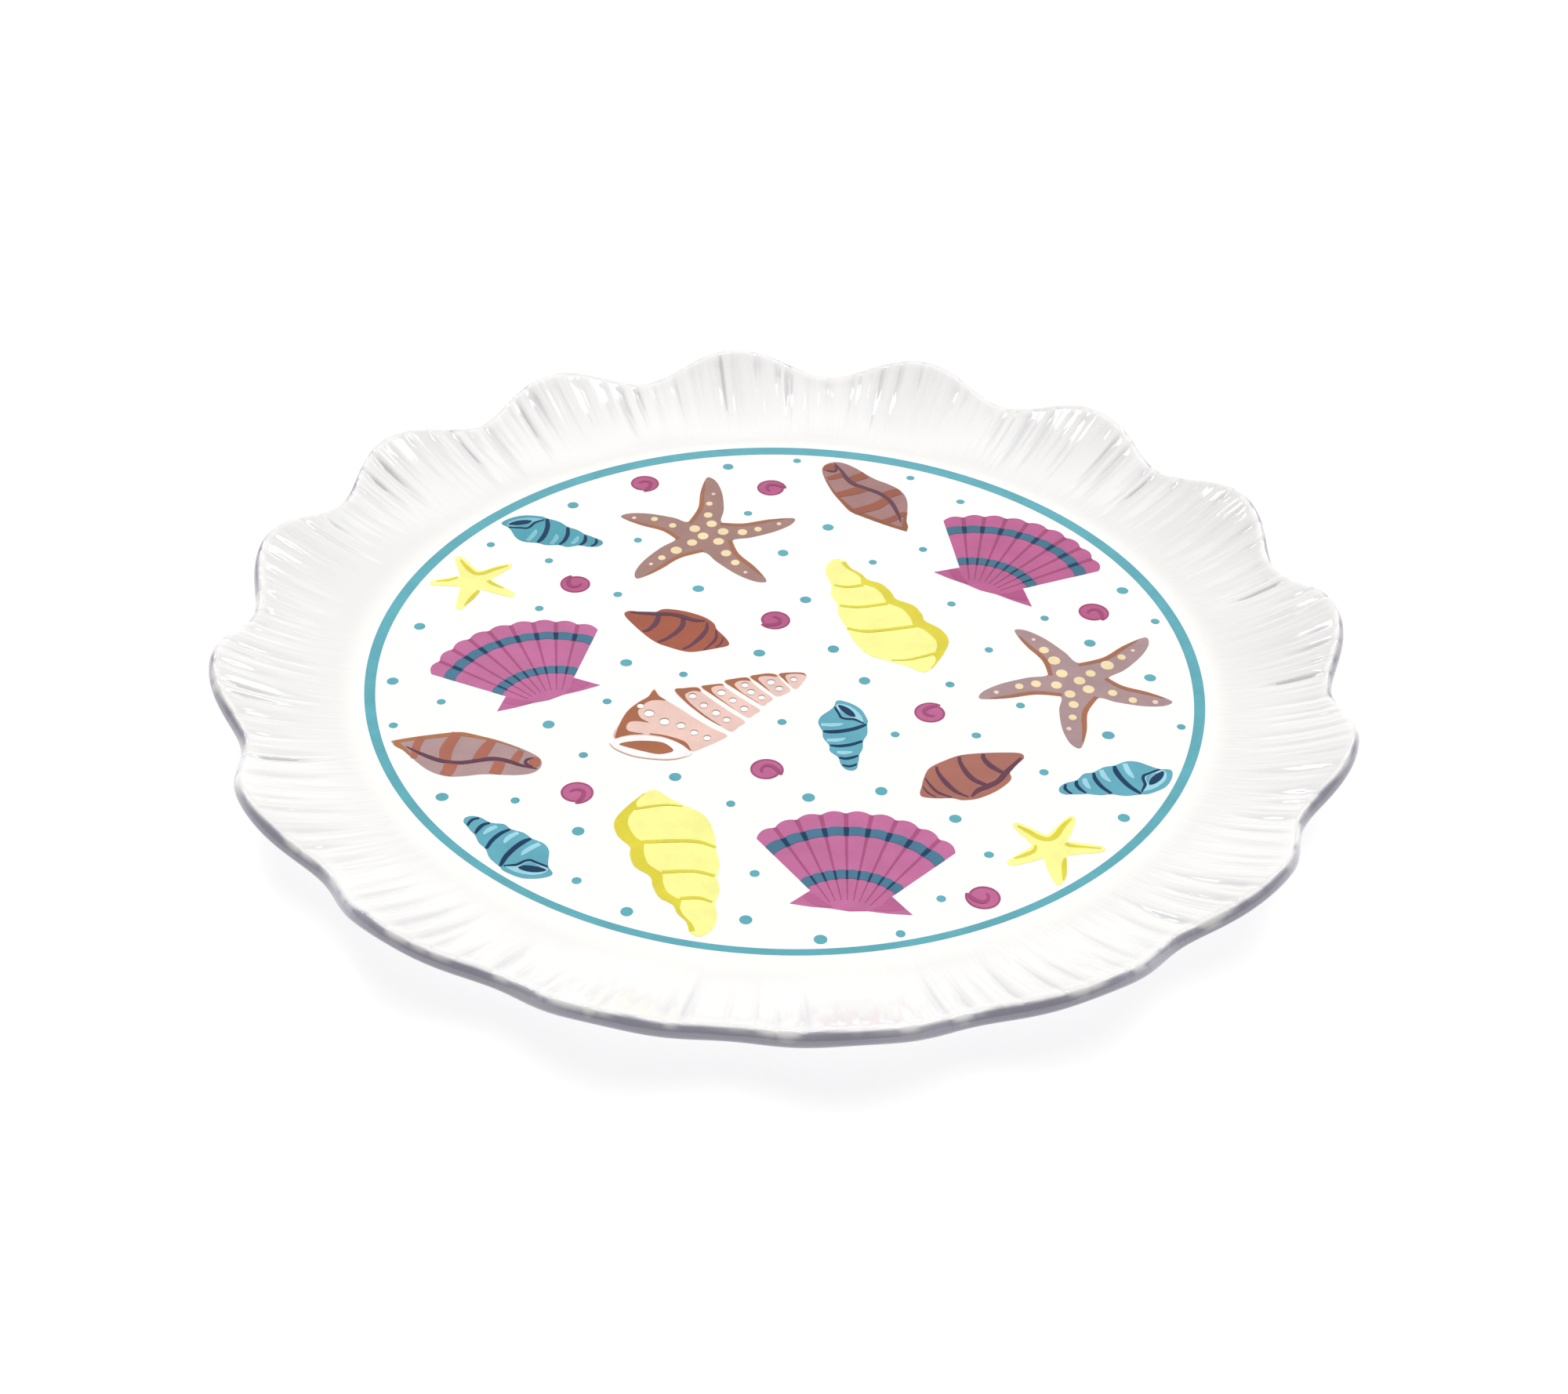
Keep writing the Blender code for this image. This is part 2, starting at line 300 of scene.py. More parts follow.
def vector_node(tree, operation, *values):
    node = tree.nodes.new("ShaderNodeVectorMath")
    node.operation = operation
    fill(tree, node.inputs, values)
    return node.outputs


def radial_streaks(tree):
    """Noise drawn out along the plate's radius, about 2 mm wide and 14 mm long."""
    flat = vector_node(tree, "MULTIPLY", object_place(tree), (1.0, 1.0, 0.0))["Vector"]
    length = vector_node(tree, "LENGTH", flat)["Value"]
    direction = vector_node(tree, "NORMALIZE", flat)["Vector"]
    across = (STREAKS_ROUND, STREAKS_ROUND, 0.0)
    round_place = vector_node(tree, "MULTIPLY", direction, across)["Vector"]
    lift = tree.nodes.new("ShaderNodeCombineXYZ")
    tree.links.new(arithmetic(tree, "MULTIPLY", length, STREAKS_OUTWARD), lift.inputs["Z"])
    streak_place = vector_node(tree, "ADD", round_place, lift.outputs["Vector"])["Vector"]
    return noise_at(tree, streak_place, 1.0)


def patches(tree, scale):
    """Soft patches, from 0 to 1."""
    return remap(tree, noise(tree, scale), 0.35, 0.65, 0.0, 1.0)


def vary_gloss(tree, shader, scale, low, high):
    roughness = remap(tree, noise(tree, scale), 0.3, 0.7, low, high)
    tree.links.new(roughness, shader.inputs["Roughness"])


def add_coat(shader, weight, roughness):
    shader.inputs["Coat Weight"].default_value = weight
    shader.inputs["Coat Roughness"].default_value = roughness


def glaze_material():
    """Glossy white glaze, greyed by painted shade over the rim, in its creases and round the lip, and
    streaked over the rim.
    """
    material, tree, shader = new_shader("white_glaze")
    colour = mix_colours(tree, patches(tree, GLAZE_PATCHES), *GLAZE_WELL)
    # Painted shade: the rim, its creases and the lip's outer face and underside are greyed.
    for name, tint in (("rim_shade_and_streaks", RIM_SHADE_COLOUR), ("painted_crease_shade", CREASE_SHADE_COLOUR), ("lip_shade", LIP_SHADE_COLOUR)):
        colour = mix_colours(tree, attribute(tree, name), colour, tint)
    tree.links.new(colour, shader.inputs["Base Color"])
    vary_gloss(tree, shader, GLAZE_GLOSS, 0.06, 0.12)
    streaks = arithmetic(tree, "MULTIPLY", radial_streaks(tree), attribute(tree, "rim_shade_and_streaks"))
    ripples = arithmetic(tree, "MULTIPLY", noise(tree, GLAZE_RIPPLES, 2.0), 0.15)
    bump(tree, shader, arithmetic(tree, "ADD", streaks, ripples), 0.5, 0.0004)
    add_coat(shader, 0.6, 0.03)
    return material


def bisque_material():
    """The bare ground foot, where the fired clay shows: matt, buff and finely grained."""
    material, tree, shader = new_shader("bare_clay")
    colour = mix_colours(tree, patches(tree, CLAY_GRAIN), *BARE_CLAY)
    tree.links.new(colour, shader.inputs["Base Color"])
    bump(tree, shader, noise(tree, CLAY_PITS), 0.5, 0.0001)
    shader.inputs["Roughness"].default_value = 0.85
    return material


def enamel_material(name, levels):
    """Printed enamel under a gloss: its depth of colour drifts and it has a fine grain."""
    material, tree, shader = new_shader(name + "_enamel")
    colour = linear(*levels)
    drift = patches(tree, ENAMEL_DRIFT)
    body = mix_colours(tree, drift, scaled(colour, 0.93), scaled(colour, 1.06))
    grain = remap(tree, noise(tree, ENAMEL_GRAIN, 1.0), 0.45, 0.8, 0.0, 0.35)
    speckled = mix_colours(tree, grain, body, scaled(colour, 0.8))
    tree.links.new(speckled, shader.inputs["Base Color"])
    vary_gloss(tree, shader, ENAMEL_GLOSS, 0.14, 0.24)
    bump(tree, shader, noise(tree, ENAMEL_PITS, 1.0), 0.10, 0.00005)
    shine = DARK_SHINE if name in DARK_ENAMELS else 1.0
    shader.inputs["Specular IOR Level"].default_value = 0.5 * shine
    add_coat(shader, 0.4 * shine, 0.05)
    return material


# The enamels' colours, as screen levels. A deep one is a darker tone of the same enamel.
ENAMEL_COLOURS = {
    "teal": (80, 169, 183),
    "pink": (192, 97, 151),
    "deep_pink": (186, 82, 140),
    "rib": (166, 62, 118),
    "deep_rib": (156, 48, 104),
    "ear": (184, 84, 140),
    "deep_ear": (175, 64, 126),
    "band": (44, 109, 140),
    "deep_band": (25, 101, 130),
    "crossing": (26, 62, 96),
    "star": (160, 120, 111),
    "mauve_star": (168, 137, 139),
    "rust_edge": (162, 96, 58),
    "cream": (245, 222, 173),
    "blush_spot": (244, 212, 194),
    "yellow": (255, 251, 148),
    "olive_shade": (224, 210, 28),
    "snail": (167, 97, 81),
    "deep_snail": (161, 74, 40),
    "plum": (88, 24, 58),
    "mauve": (174, 141, 141),
    "deep_mauve": (160, 115, 113),
    "ochre": (172, 107, 52),
    "deep_ochre": (146, 78, 26),
    "stripe": (171, 93, 69),
    "deep_stripe": (150, 72, 38),
    "sea_blue": (83, 167, 187),
    "deep_sea_blue": (60, 155, 173),
    "navy": (24, 60, 94),
    "pale_blue": (154, 214, 230),
    "deep_pale_blue": (120, 190, 208),
    "blush": (237, 199, 187),
    "brown": (166, 92, 48),
    "pearl": (254, 250, 248),
    "pearl_edge": (118, 84, 76),
    "magenta": (188, 88, 141),
    "deep_magenta": (180, 73, 128),
    "curl": (160, 54, 110),
    "deep_curl": (154, 44, 100),
}

# The darkest enamels shine less, or the room's light would wash them out.
DARK_ENAMELS = ("crossing", "navy")
DARK_SHINE = 0.2
ENAMELS = {name: enamel_material(name, levels) for name, levels in ENAMEL_COLOURS.items()}


# --- pieces -----------------------------------------------------------------


def add_object(name, data):
    thing = bpy.data.objects.new(name, data)
    bpy.context.scene.collection.objects.link(thing)
    return thing


def new_piece(name, bm, materials, slot, *replaced):
    """Turns a bmesh in millimetres into a piece that rides on the plate's one body."""
    bmesh.ops.recalc_face_normals(bm, faces=bm.faces)
    bmesh.ops.scale(bm, vec=(MM, MM, MM), verts=bm.verts)
    mesh = bpy.data.meshes.new(name)
    bm.to_mesh(mesh)
    bm.free()
    for material in materials:
        mesh.materials.append(material)
    piece = add_object(name, mesh)
    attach(piece, "root")
    if replaced:
        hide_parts(*replaced)
    return piece


# --- the glazed body --------------------------------------------------------


def smooth_step(value):
    held = max(0.0, min(1.0, value))
    return held * held * (3 - 2 * held)


def crease_table(count, depth, seed):
    """Creases between flutes: (angle, depth, radius where it starts), in turning order."""
    draw = random.Random(seed)
    creases = []
    for i in range(count):
        angle = (i + draw.uniform(-FLUTE_JITTER, FLUTE_JITTER)) * math.tau / count
        drop = depth * draw.uniform(FLUTE_LEAST, 1.0)
        start = FLUTE_START + FLUTE_START_SPREAD * draw.random() ** FLUTE_START_POWER
        creases.append((angle, drop, start))
    return creases


def crease_drops(creases):
    """For each angle round the body: how far down its nearest crease, and where that starts."""
    drops = []
    count = len(creases)
    for i in range(AROUND):
        angle = math.tau * i / AROUND
        guess = int(angle / math.tau * count)
        for k in (guess - 1, guess, guess + 1):
            first = creases[k % count]
            second = creases[(k + 1) % count]
            span = (second[0] - first[0]) % math.tau
            along = (angle - first[0]) % math.tau
            if along < span:
                share = along / span
                _, drop, start = first if share < 0.5 else second
                drops.append((drop * abs(2 * share - 1) ** FLUTE_POWER, start))
                break
    return drops


def flute_table():
    """For each angle round the body: (drop, start) for each set of flutes."""
    return list(zip(*(crease_drops(crease_table(*flutes)) for flutes in FLUTE_SETS)))


def rim_layer(share, side):
    """A point of the rim's top (side 1) or underside (side -1), and its outward normal."""
    width = LIP_RADIUS - WELL_RADIUS
    middle = WELL_TOP - WELL_THICKNESS / 2
    rise = LIP_HEIGHT - middle
    slope = math.atan(rise * RIM_POWER * share ** (RIM_POWER - 1) / width)
    half = (WELL_THICKNESS + (LIP_THICKNESS - WELL_THICKNESS) * share) / 2
    normal = (-side * math.sin(slope), side * math.cos(slope))
    r = WELL_RADIUS + width * share + half * normal[0]
    z = middle + rise * share**RIM_POWER + half * normal[1]
    return r, z, normal, slope


def wave(r, z, angle):
    """The point moved out and up on a scallop's crest, and in and down in a valley."""
    share = max(0.0, min(1.0, (r - LOBE_START) / (LIP_RADIUS - LOBE_START)))
    blend = share**LOBE_POWER
    turn = LOBES * (angle - LOBE_PHASE)
    out = LOBE_OUT * math.cos(turn) - LOBE_SHARPEN * math.cos(2 * turn)
    return r + blend * out, z + blend * LOBE_UP * math.cos(turn)


def nose_offset(turn, slope):
    """From the lip's middle to its surface: half a circle, squared off a little."""
    squared = 2 / NOSE_POWER
    out = LIP_THICKNESS / 2 * abs(math.cos(turn)) ** squared
    up = math.copysign(LIP_THICKNESS / 2 * abs(math.sin(turn)) ** squared, turn)
    tilt_out, tilt_up = polar(1.0, slope)
    return out * tilt_out - up * tilt_up, out * tilt_up + up * tilt_out


def fine_rings():
    """The rings of the top and the lip, then those of the underside.

    Each is (radius, height, normal, share of the flutes' depth, way past the lip's top),
    where the last is 0 on the top, 1 at the outer end of the underside and 2 at the well.
    """
    top = []
    for i in range(RIM_STATIONS + 1):
        r, z, normal, slope = rim_layer(i / RIM_STATIONS, 1)
        ending = smooth_step((r - FLUTE_END) / (FLUTE_FADED - FLUTE_END))
        top.append((r, z, normal, 1 - (1 - LIP_SHARE) * ending, 0.0))
    for i in range(1, NOSE_STEPS):
        share = i / NOSE_STEPS
        turn = math.pi * (0.5 - share)
        out, up = nose_offset(turn, slope)
        depth = LIP_SHARE * smooth_step(1 - LIP_FADING * share)
        top.append((LIP_RADIUS + out, LIP_HEIGHT + up, polar(1.0, turn + slope), depth, share))
    underside = []
    for i in range(UNDERSIDE_STATIONS + 1):
        inward = i / UNDERSIDE_STATIONS
        r, z, normal, _ = rim_layer(1 - inward, -1)
        depth = -UNDERSIDE_SHARE * smooth_step(UNDERSIDE_RISE * inward)
        underside.append((r, z, normal, depth, 1 + inward))
    return top, underside


def lip_shade(past, crease, angle):
    """How much painted shade greys the glaze, from the lip's outer face down and in under the rim."""
    uneven = sum(size * math.sin(count * angle + phase) for count, size, phase in LIP_SHADE_WAVES)
    start = LIP_SHADE_START - LIP_SHADE_BUMP * crease + uneven
    paler = 1 - UNDERSIDE_PALER * smooth_step(past - 1)
    return smooth_step((past - start) / LIP_SHADE_BLEND) * paler


def add_fluted_ring(bm, tints, flutes, ring):
    """tints holds the mesh's layers of painted shade: in the creases, round the lip and over the rim,
    where the last also marks the rim's streaks.
    """
    r, z, normal, share, past = ring
    verts = []
    for i, sets in enumerate(flutes):
        angle = math.tau * i / len(flutes)
        fades = [smooth_step((r - start) / FLUTE_RISE) for _, start in sets]
        drop = sum(fade * deep for fade, (deep, _) in zip(fades, sets))
        far, high = wave(r - normal[0] * share * drop, z - normal[1] * share * drop, angle)
        vert = bm.verts.new((*polar(far, angle), high))
        crease = sets[0][0] / FLUTE_SETS[0][1]
        # Painted shade in the creases, darkest where a crease is deepest.
        vert[tints[0]] = min(1.0, max(0.0, share) * fades[0] * crease)
        # Painted shade round the lip and in under the rim.
        vert[tints[1]] = lip_shade(past, crease, angle)
        # Painted shade over the rim; the same mask also places the rim's streaks.
        vert[tints[2]] = smooth_step((r - GREY_START) / GREY_WIDTH)
        verts.append(vert)
    return verts


def add_plain_ring(bm, r, z, count):
    return [bm.verts.new((*polar(r, math.tau * i / count), z)) for i in range(count)]


GLAZED = 0
UNGLAZED = 1


def join_rings(bm, many, few, material_index=GLAZED):
    """Faces between two rings, of which the first has a whole number of times as many points."""
    ratio = len(many) // len(few)
    for i in range(len(few)):
        j = (i + 1) % len(few)
        if ratio == 1:
            bm.faces.new((many[i], many[j], few[j], few[i])).material_index = material_index
            continue
        for k in range(ratio):
            first = many[i * ratio + k]
            second = many[(i * ratio + k + 1) % len(many)]
            bm.faces.new((first, second, few[i]))
        bm.faces.new((many[(i + 1) * ratio % len(many)], few[j], few[i]))


def close_middle(bm, edge, outer_radius, z):
    """Closes a flat middle: coarser and coarser rings, then a fan to the centre."""
    outer = add_plain_ring(bm, outer_radius, z, AROUND_COARSE)
    inner = add_plain_ring(bm, outer_radius / 2, z, AROUND_MIDDLE)
    centre = bm.verts.new((0.0, 0.0, z))
    join_rings(bm, edge, outer)
    join_rings(bm, outer, inner)
    for i, vert in enumerate(inner):
        bm.faces.new((vert, inner[(i + 1) % AROUND_MIDDLE], centre))


def foot_wall(radius, side):
    """The foot's outer wall (side 1) or inner wall (side -1), from the well's bottom down."""
    well_bottom = WELL_TOP - WELL_THICKNESS
    section = [
        (FOOT_FLARE + FOOT_ROOT[0], well_bottom),
        (FOOT_FLARE, well_bottom - FOOT_ROOT[1]),
        (FOOT_EDGE + FOOT_CORNER[0], FOOT_EDGE + FOOT_CORNER[1]),
        (FOOT_EDGE, FOOT_EDGE),
        (0.0, 0.0),
    ]
    return [(radius + side * out, z) for out, z in section]


def add_foot(bm, edge):
    """The foot ring and the bottom inside it. The face that it stands on is unglazed."""
    well_bottom = WELL_TOP - WELL_THICKNESS
    before = edge
    height = well_bottom
    for r, z in foot_wall(FOOT_OUTER, 1) + foot_wall(FOOT_INNER, -1)[::-1]:
        ring = add_plain_ring(bm, r, z, AROUND_COARSE)
        join_rings(bm, before, ring, UNGLAZED if min(z, height) == 0.0 else GLAZED)
        before = ring
        height = z
    close_middle(bm, before, FOOT_INNER - BOTTOM_MARGIN, well_bottom)


def make_body():
    bm = bmesh.new()
    tints = [bm.verts.layers.float.new(name) for name in ("painted_crease_shade", "lip_shade", "rim_shade_and_streaks")]
    flutes = flute_table()
    top, underside = fine_rings()
    rings = [add_fluted_ring(bm, tints, flutes, ring) for ring in top]
    thinned = flutes[::AROUND // AROUND_UNDERSIDE]
    rings += [add_fluted_ring(bm, tints, thinned, ring) for ring in underside]
    for outer, inner in zip(rings, rings[1:]):
        join_rings(bm, outer, inner)
    close_middle(bm, rings[0], WELL_RADIUS - WELL_MARGIN, WELL_TOP)
    add_foot(bm, rings[-1])
    materials = [glaze_material(), bisque_material()]
    body = new_piece("glazed_body", bm, materials, "glaze", "plate_body")
    body.data.shade_smooth()
    body.data.set_sharp_from_angle(angle=SHARP_EDGE)


# --- printed shapes ---------------------------------------------------------


def add_shape(bm, outline, layer, material_index, place):
    """A thin closed prism over the outline, on the given layer of the print."""
    low = WELL_TOP + PRINT_GAP + layer * LAYER_STEP
    high = low + PRINT_THICKNESS
    flat = [place @ Vector((x, y, 0.0)) for x, y in outline]
    bottom = [bm.verts.new((p.x, p.y, low)) for p in flat]
    top = [bm.verts.new((p.x, p.y, high)) for p in flat]
    faces = [bm.faces.new(bottom[::-1]), bm.faces.new(top)]
    for i in range(len(flat)):
        j = (i + 1) % len(flat)
        faces.append(bm.faces.new((bottom[i], bottom[j], top[j], top[i])))
    for face in faces:
        face.material_index = material_index


def make_print(name, layers, slot, replaced=(), x=0.0, y=0.0, turn=0.0, scale=1.0):
    """One motif. layers is a list of layers, each a list of (enamel, outline)."""
    bm = bmesh.new()
    place = (
        Matrix.Translation((x, y, 0.0))
        @ Matrix.Rotation(math.radians(turn), 4, "Z")
        @ Matrix.Scale(scale, 4)
    )
    enamels = sorted({enamel for layer in layers for enamel, _ in layer})
    for depth, layer in enumerate(layers):
        for enamel, outline in layer:
            add_shape(bm, outline, depth, enamels.index(enamel), place)
    new_piece(name, bm, [ENAMELS[key] for key in enamels], slot, *replaced)


def darker(layers):
    """The motif in the deeper tone of each enamel that has one."""
    return [
        [("deep_" + enamel if "deep_" + enamel in ENAMELS else enamel, outline)
         for enamel, outline in layer]
        for layer in layers
    ]


def brush_lines(enamel, *lines):
    """Brush lines in one enamel. Each line is (points, widths)."""
    return [(enamel, stroke(*line)) for line in lines]


# The scallop shell.

FAN_RIBS = 9
FAN_HALF_ANGLE = math.radians(39.7)
FAN_NECK = 13.9
FAN_EDGE = 37.4
FAN_EDGE_DROP = 2.9
FAN_LOBE = 1.1
FAN_LOBE_POWER = 0.8
FAN_FOOT = [(13.6, 5.2), (8.5, 5.1), (4, 5.4), (0, 4.9), (-4, 5.4), (-8.5, 5.5), (-13, 6)]
FAN_LEFT_EAR = [(-10.2, 8.4), (-9.6, 9.6), (-8, 9.7), (-6, 7.6), (-3.7, 6), (-7.2, 6)]
FAN_RIGHT_EAR = [(8.5, 10.3), (10.4, 8.7), (11.6, 6.9), (8.5, 5.9), (5, 6), (6.9, 7.9)]
FAN_RIB_RADII = (8.5, 15.0, 27.0)
FAN_RIB_WIDTHS = [0.2, 0.4, 0.7, 1.1]
FAN_RIB_OVERRUN = 0.2

# The two bands across the ribs: (inner radius, outer radius, drop of the inner edge at the
# fan's sides), and the darker crossings of band and rib: (radii, drop at the sides, widths).
FAN_BANDS = [(29.8, 32.6, 1.9), (15.3, 18.1, 0.6)]
FAN_OUTER_DROP = 0.8
FAN_OUTER_BULGE = 0.4
FAN_INNER_BULGE = 0.3
FAN_CROSSINGS = [
    ((29.8, 31.2, 32.7), 1.7, [1.0, 1.15, 1.25]),
    ((15.3, 16.8, 18.2), 0.5, [0.45, 0.55, 0.6]),
]


def fan_radius(share):
    """The radius of the valleys between the fan's lobes, at a share of its half angle."""
    return FAN_EDGE - FAN_EDGE_DROP * share**2


def fan_point(radius, share):
    return polar(radius, math.pi / 2 - share * FAN_HALF_ANGLE)


def fan_lobe(share):
    """From 0 at a rib to 1 half way between two ribs."""
    return abs(math.sin(math.pi * FAN_RIBS * (share + 1) / 2))


def fan_shares():
    steps = 8 * FAN_RIBS
    return [2 * i / steps - 1 for i in range(steps + 1)]


def scallop_outline(spread):
    fan = []
    for share in fan_shares():
        radius = fan_radius(share) + FAN_LOBE * fan_lobe(share) ** FAN_LOBE_POWER
        fan.append(fan_point(radius, share * spread))
    return fan + [fan_point(FAN_NECK, spread)] + FAN_FOOT + [fan_point(FAN_NECK, -spread)]


def fan_band(inner, outer, drop, spread):
    """A band across the ribs that follows the fan's edge and bulges between the ribs."""
    far = []
    near = []
    for share in fan_shares():
        sag = drop * share**2
        outer_radius = outer - FAN_OUTER_DROP * sag + FAN_OUTER_BULGE * fan_lobe(share)
        inner_radius = inner - sag + FAN_INNER_BULGE * fan_lobe(share)
        far.append(fan_point(outer_radius, share * spread))
        near.append(fan_point(inner_radius, share * spread))
    return far + near[::-1]


def scallop_art(spread=1.0):
    """spread is how far the fan opens, as a share of its usual angle."""
    ribs = []
    crossings = []
    for i in range(1, FAN_RIBS):
        share = 2 * i / FAN_RIBS - 1
        turned = share * spread
        tip = fan_radius(share) + FAN_RIB_OVERRUN
        line = [fan_point(radius, turned) for radius in (*FAN_RIB_RADII, tip)]
        ribs.append(("rib", stroke(line, FAN_RIB_WIDTHS)))
        for radii, drop, widths in FAN_CROSSINGS:
            line = [fan_point(radius - drop * share**2, turned) for radius in radii]
            crossings.append(("crossing", stroke(line, widths)))
    shades = [("ear", smooth_loop(FAN_LEFT_EAR)), ("ear", smooth_loop(FAN_RIGHT_EAR))]
    bands = [("band", fan_band(*band, spread)) for band in FAN_BANDS]
    return [[("pink", scallop_outline(spread))], ribs + shades, bands, crossings]


# The starfish.

STARFISH_CROTCH = 7.6
STARFISH_WIDTHS = [(0.45, 4.6, 2.2), (0.72, 3.9, 1.9), (0.92, 2.2, 1.1)]
SPOT_LENGTHENING = 1.12
SMALL_SPOT = 0.75

# The rust edge of an arm: its distance from the middle at the crotch, then (share of the arm's
# length, distance from the arm's axis), and its widths.
STARFISH_EDGE_START = 6.9
STARFISH_EDGE = [(0.45, 1.55), (0.72, 1.35), (0.9, 0.85)]
STARFISH_EDGE_WIDTHS = [1.1, 1.3, 1.1, 0.25]


def star_arms(arms):
    """For each arm: its angle, its length and half the angle to the next arm."""
    for i, (degrees, length) in enumerate(arms):
        gap = (arms[(i + 1) % len(arms)][0] - degrees) % 360
        yield math.radians(degrees), length, math.radians(gap) / 2


def beside_arm(angle, length, share, off):
    """A point at a share of the arm's length, and off to the side that turns onward."""
    out_x, out_y = polar(1.0, angle)
    return length * share * out_x - off * out_y, length * share * out_y + off * out_x


def star_outline(arms, crotch, widths):
    """A five-armed star. arms is a list of (degrees, length), in turning order.

    widths is a list of (share of the arm's length, width before it, width behind it),
    where before is the side that the turning order meets first.
    """
    side = [(share, -before) for share, before, _ in widths]
    side += [(1.0, 0.0)] + [(share, behind) for share, _, behind in reversed(widths)]
    outline = []
    for angle, length, half_gap in star_arms(arms):
        outline += [beside_arm(angle, length, share, off) for share, off in side]
        outline.append(polar(crotch, angle + half_gap))
    return smooth_loop(outline)


def starfish_edges(arms):
    """The rust edge along the second side of every arm."""
    edges = []
    for angle, length, half_gap in star_arms(arms):
        line = [polar(STARFISH_EDGE_START, angle + half_gap)]
        line += [beside_arm(angle, length, share, off) for share, off in STARFISH_EDGE]
        edges.append(("rust_edge", stroke(line, STARFISH_EDGE_WIDTHS)))
    return edges


def starfish_art(enamel, arms, spots):
    marks = []
    for x, y, radius in spots:
        tone = "blush_spot" if radius < SMALL_SPOT else "cream"
        marks.append((tone, oval(x, y, radius, SPOT_LENGTHENING * radius)))
    outline = star_outline(arms, STARFISH_CROTCH, STARFISH_WIDTHS)
    return [[(enamel, outline)], starfish_edges(arms) + marks]


# The two starfish: arms as (degrees, length), and spots as (x, y, radius).
STARFISH_BACK = ([(21, 25), (90, 28), (160, 23.5), (231, 26), (309, 26)], [
    (-0.3, -0.3, 1.4), (-2.6, 3, 1.4), (1.7, 5.5, 1.35), (4.8, 2, 1.4),
    (3.8, -2.6, 1.4), (-3, -3.5, 1.3), (-6.9, -7.2, 1.45), (5.9, -7.9, 1.3),
    (8.4, -12, 1.1), (-10.4, -10.8, 0.95), (-8.4, 4.2, 0.95), (-13.3, 7, 0.9),
    (0.6, 9.6, 1.15), (0.7, 15, 0.85), (9.8, 2, 1.25), (13.8, 3.6, 0.95),
    (11.1, -16.2, 0.5), (-13, -13.7, 0.5), (-18.6, 7.3, 0.55), (1.6, 19.8, 0.5),
    (19.2, 6.4, 0.6),
])
STARFISH_RIGHT = ([(46, 26.3), (124, 25.1), (197, 25.4), (266, 25.9), (342, 23)], [
    (0.3, 0.4, 1.4), (-3.8, 3.1, 1.4), (3.2, 3.5, 1.2), (2.2, -2.9, 1.4),
    (-2.4, -5, 1.3), (-5.4, -1.6, 1.3), (-5.3, 8.3, 1.5), (-7.5, 12.5, 1.2),
    (-9.8, 16.8, 0.5), (7.5, 7, 1.6), (11.3, 10.5, 1), (14.3, 13.4, 0.5),
    (7.9, -4.1, 1.1), (12.5, -6.7, 1), (17.8, -7.2, 0.7), (-1.8, -9.1, 1.2),
    (-2.4, -14.1, 0.95), (-3.6, -18.5, 0.6), (-10.3, -1.3, 1.2), (-14.4, -2.5, 1),
    (-20, -5.1, 0.6),
])


# The small yellow stars.

SMALL_STAR_CROTCH = 4.4
SMALL_STAR_WIDTHS = [(0.5, 2, 2), (0.9, 1.1, 1.1)]


def small_star_art(arms, shades):
    outline = star_outline(arms, SMALL_STAR_CROTCH, SMALL_STAR_WIDTHS)
    return [[("yellow", outline)], brush_lines("olive_shade", *shades)]


# The two small stars: arms as (degrees, length), and brush lines of shade.
SMALL_STAR_FRONT = ([(0, 12), (63, 12.3), (135, 11.3), (211, 11.7), (274, 12.5)], [
    ([(-7.1, 7.1), (-5, 5.5), (-2.8, 3.5), (-0.5, 2.8), (1.2, 4.1), (2.6, 6.6),
      (3.7, 8.4), (5.1, 10.1)], [0.6, 1.1, 1.4, 1.3, 1.4, 1.3, 1, 0.4]),
    ([(3.3, 1.6), (4.3, 0.9), (7, 0.6), (11, 0.2)], [1, 1, 0.6, 0.3]),
    ([(2.8, -3.4), (2.4, -6), (2.2, -9), (1.9, -10.9)], [0.6, 1.2, 1, 0.4]),
    ([(-3.5, 0.6), (-3.9, -1.2), (-5.6, -2.5), (-8.4, -4)], [0.5, 0.9, 1.1, 0.5]),
])
SMALL_STAR_LEFT = ([(41, 11.5), (117, 11.7), (189, 11.1), (260, 13), (330, 12.5)], [
    ([(-4.4, 9), (-2.4, 5.7), (-0.2, 3.2), (2, 3.3), (4.8, 5.3), (7.8, 6.9)],
     [0.5, 1.2, 1.2, 1.2, 1.2, 0.5]),
    ([(3.6, 0.1), (4.8, -1.2), (7.8, -3.1)], [1, 1, 0.4]),
    ([(1.7, -4.4), (0.3, -7.8), (-1.1, -11)], [0.9, 1.2, 0.4]),
    ([(-4.2, 1.2), (-6.2, -0.1), (-9.3, -0.8)], [0.7, 0.8, 0.4]),
])


# The conch.

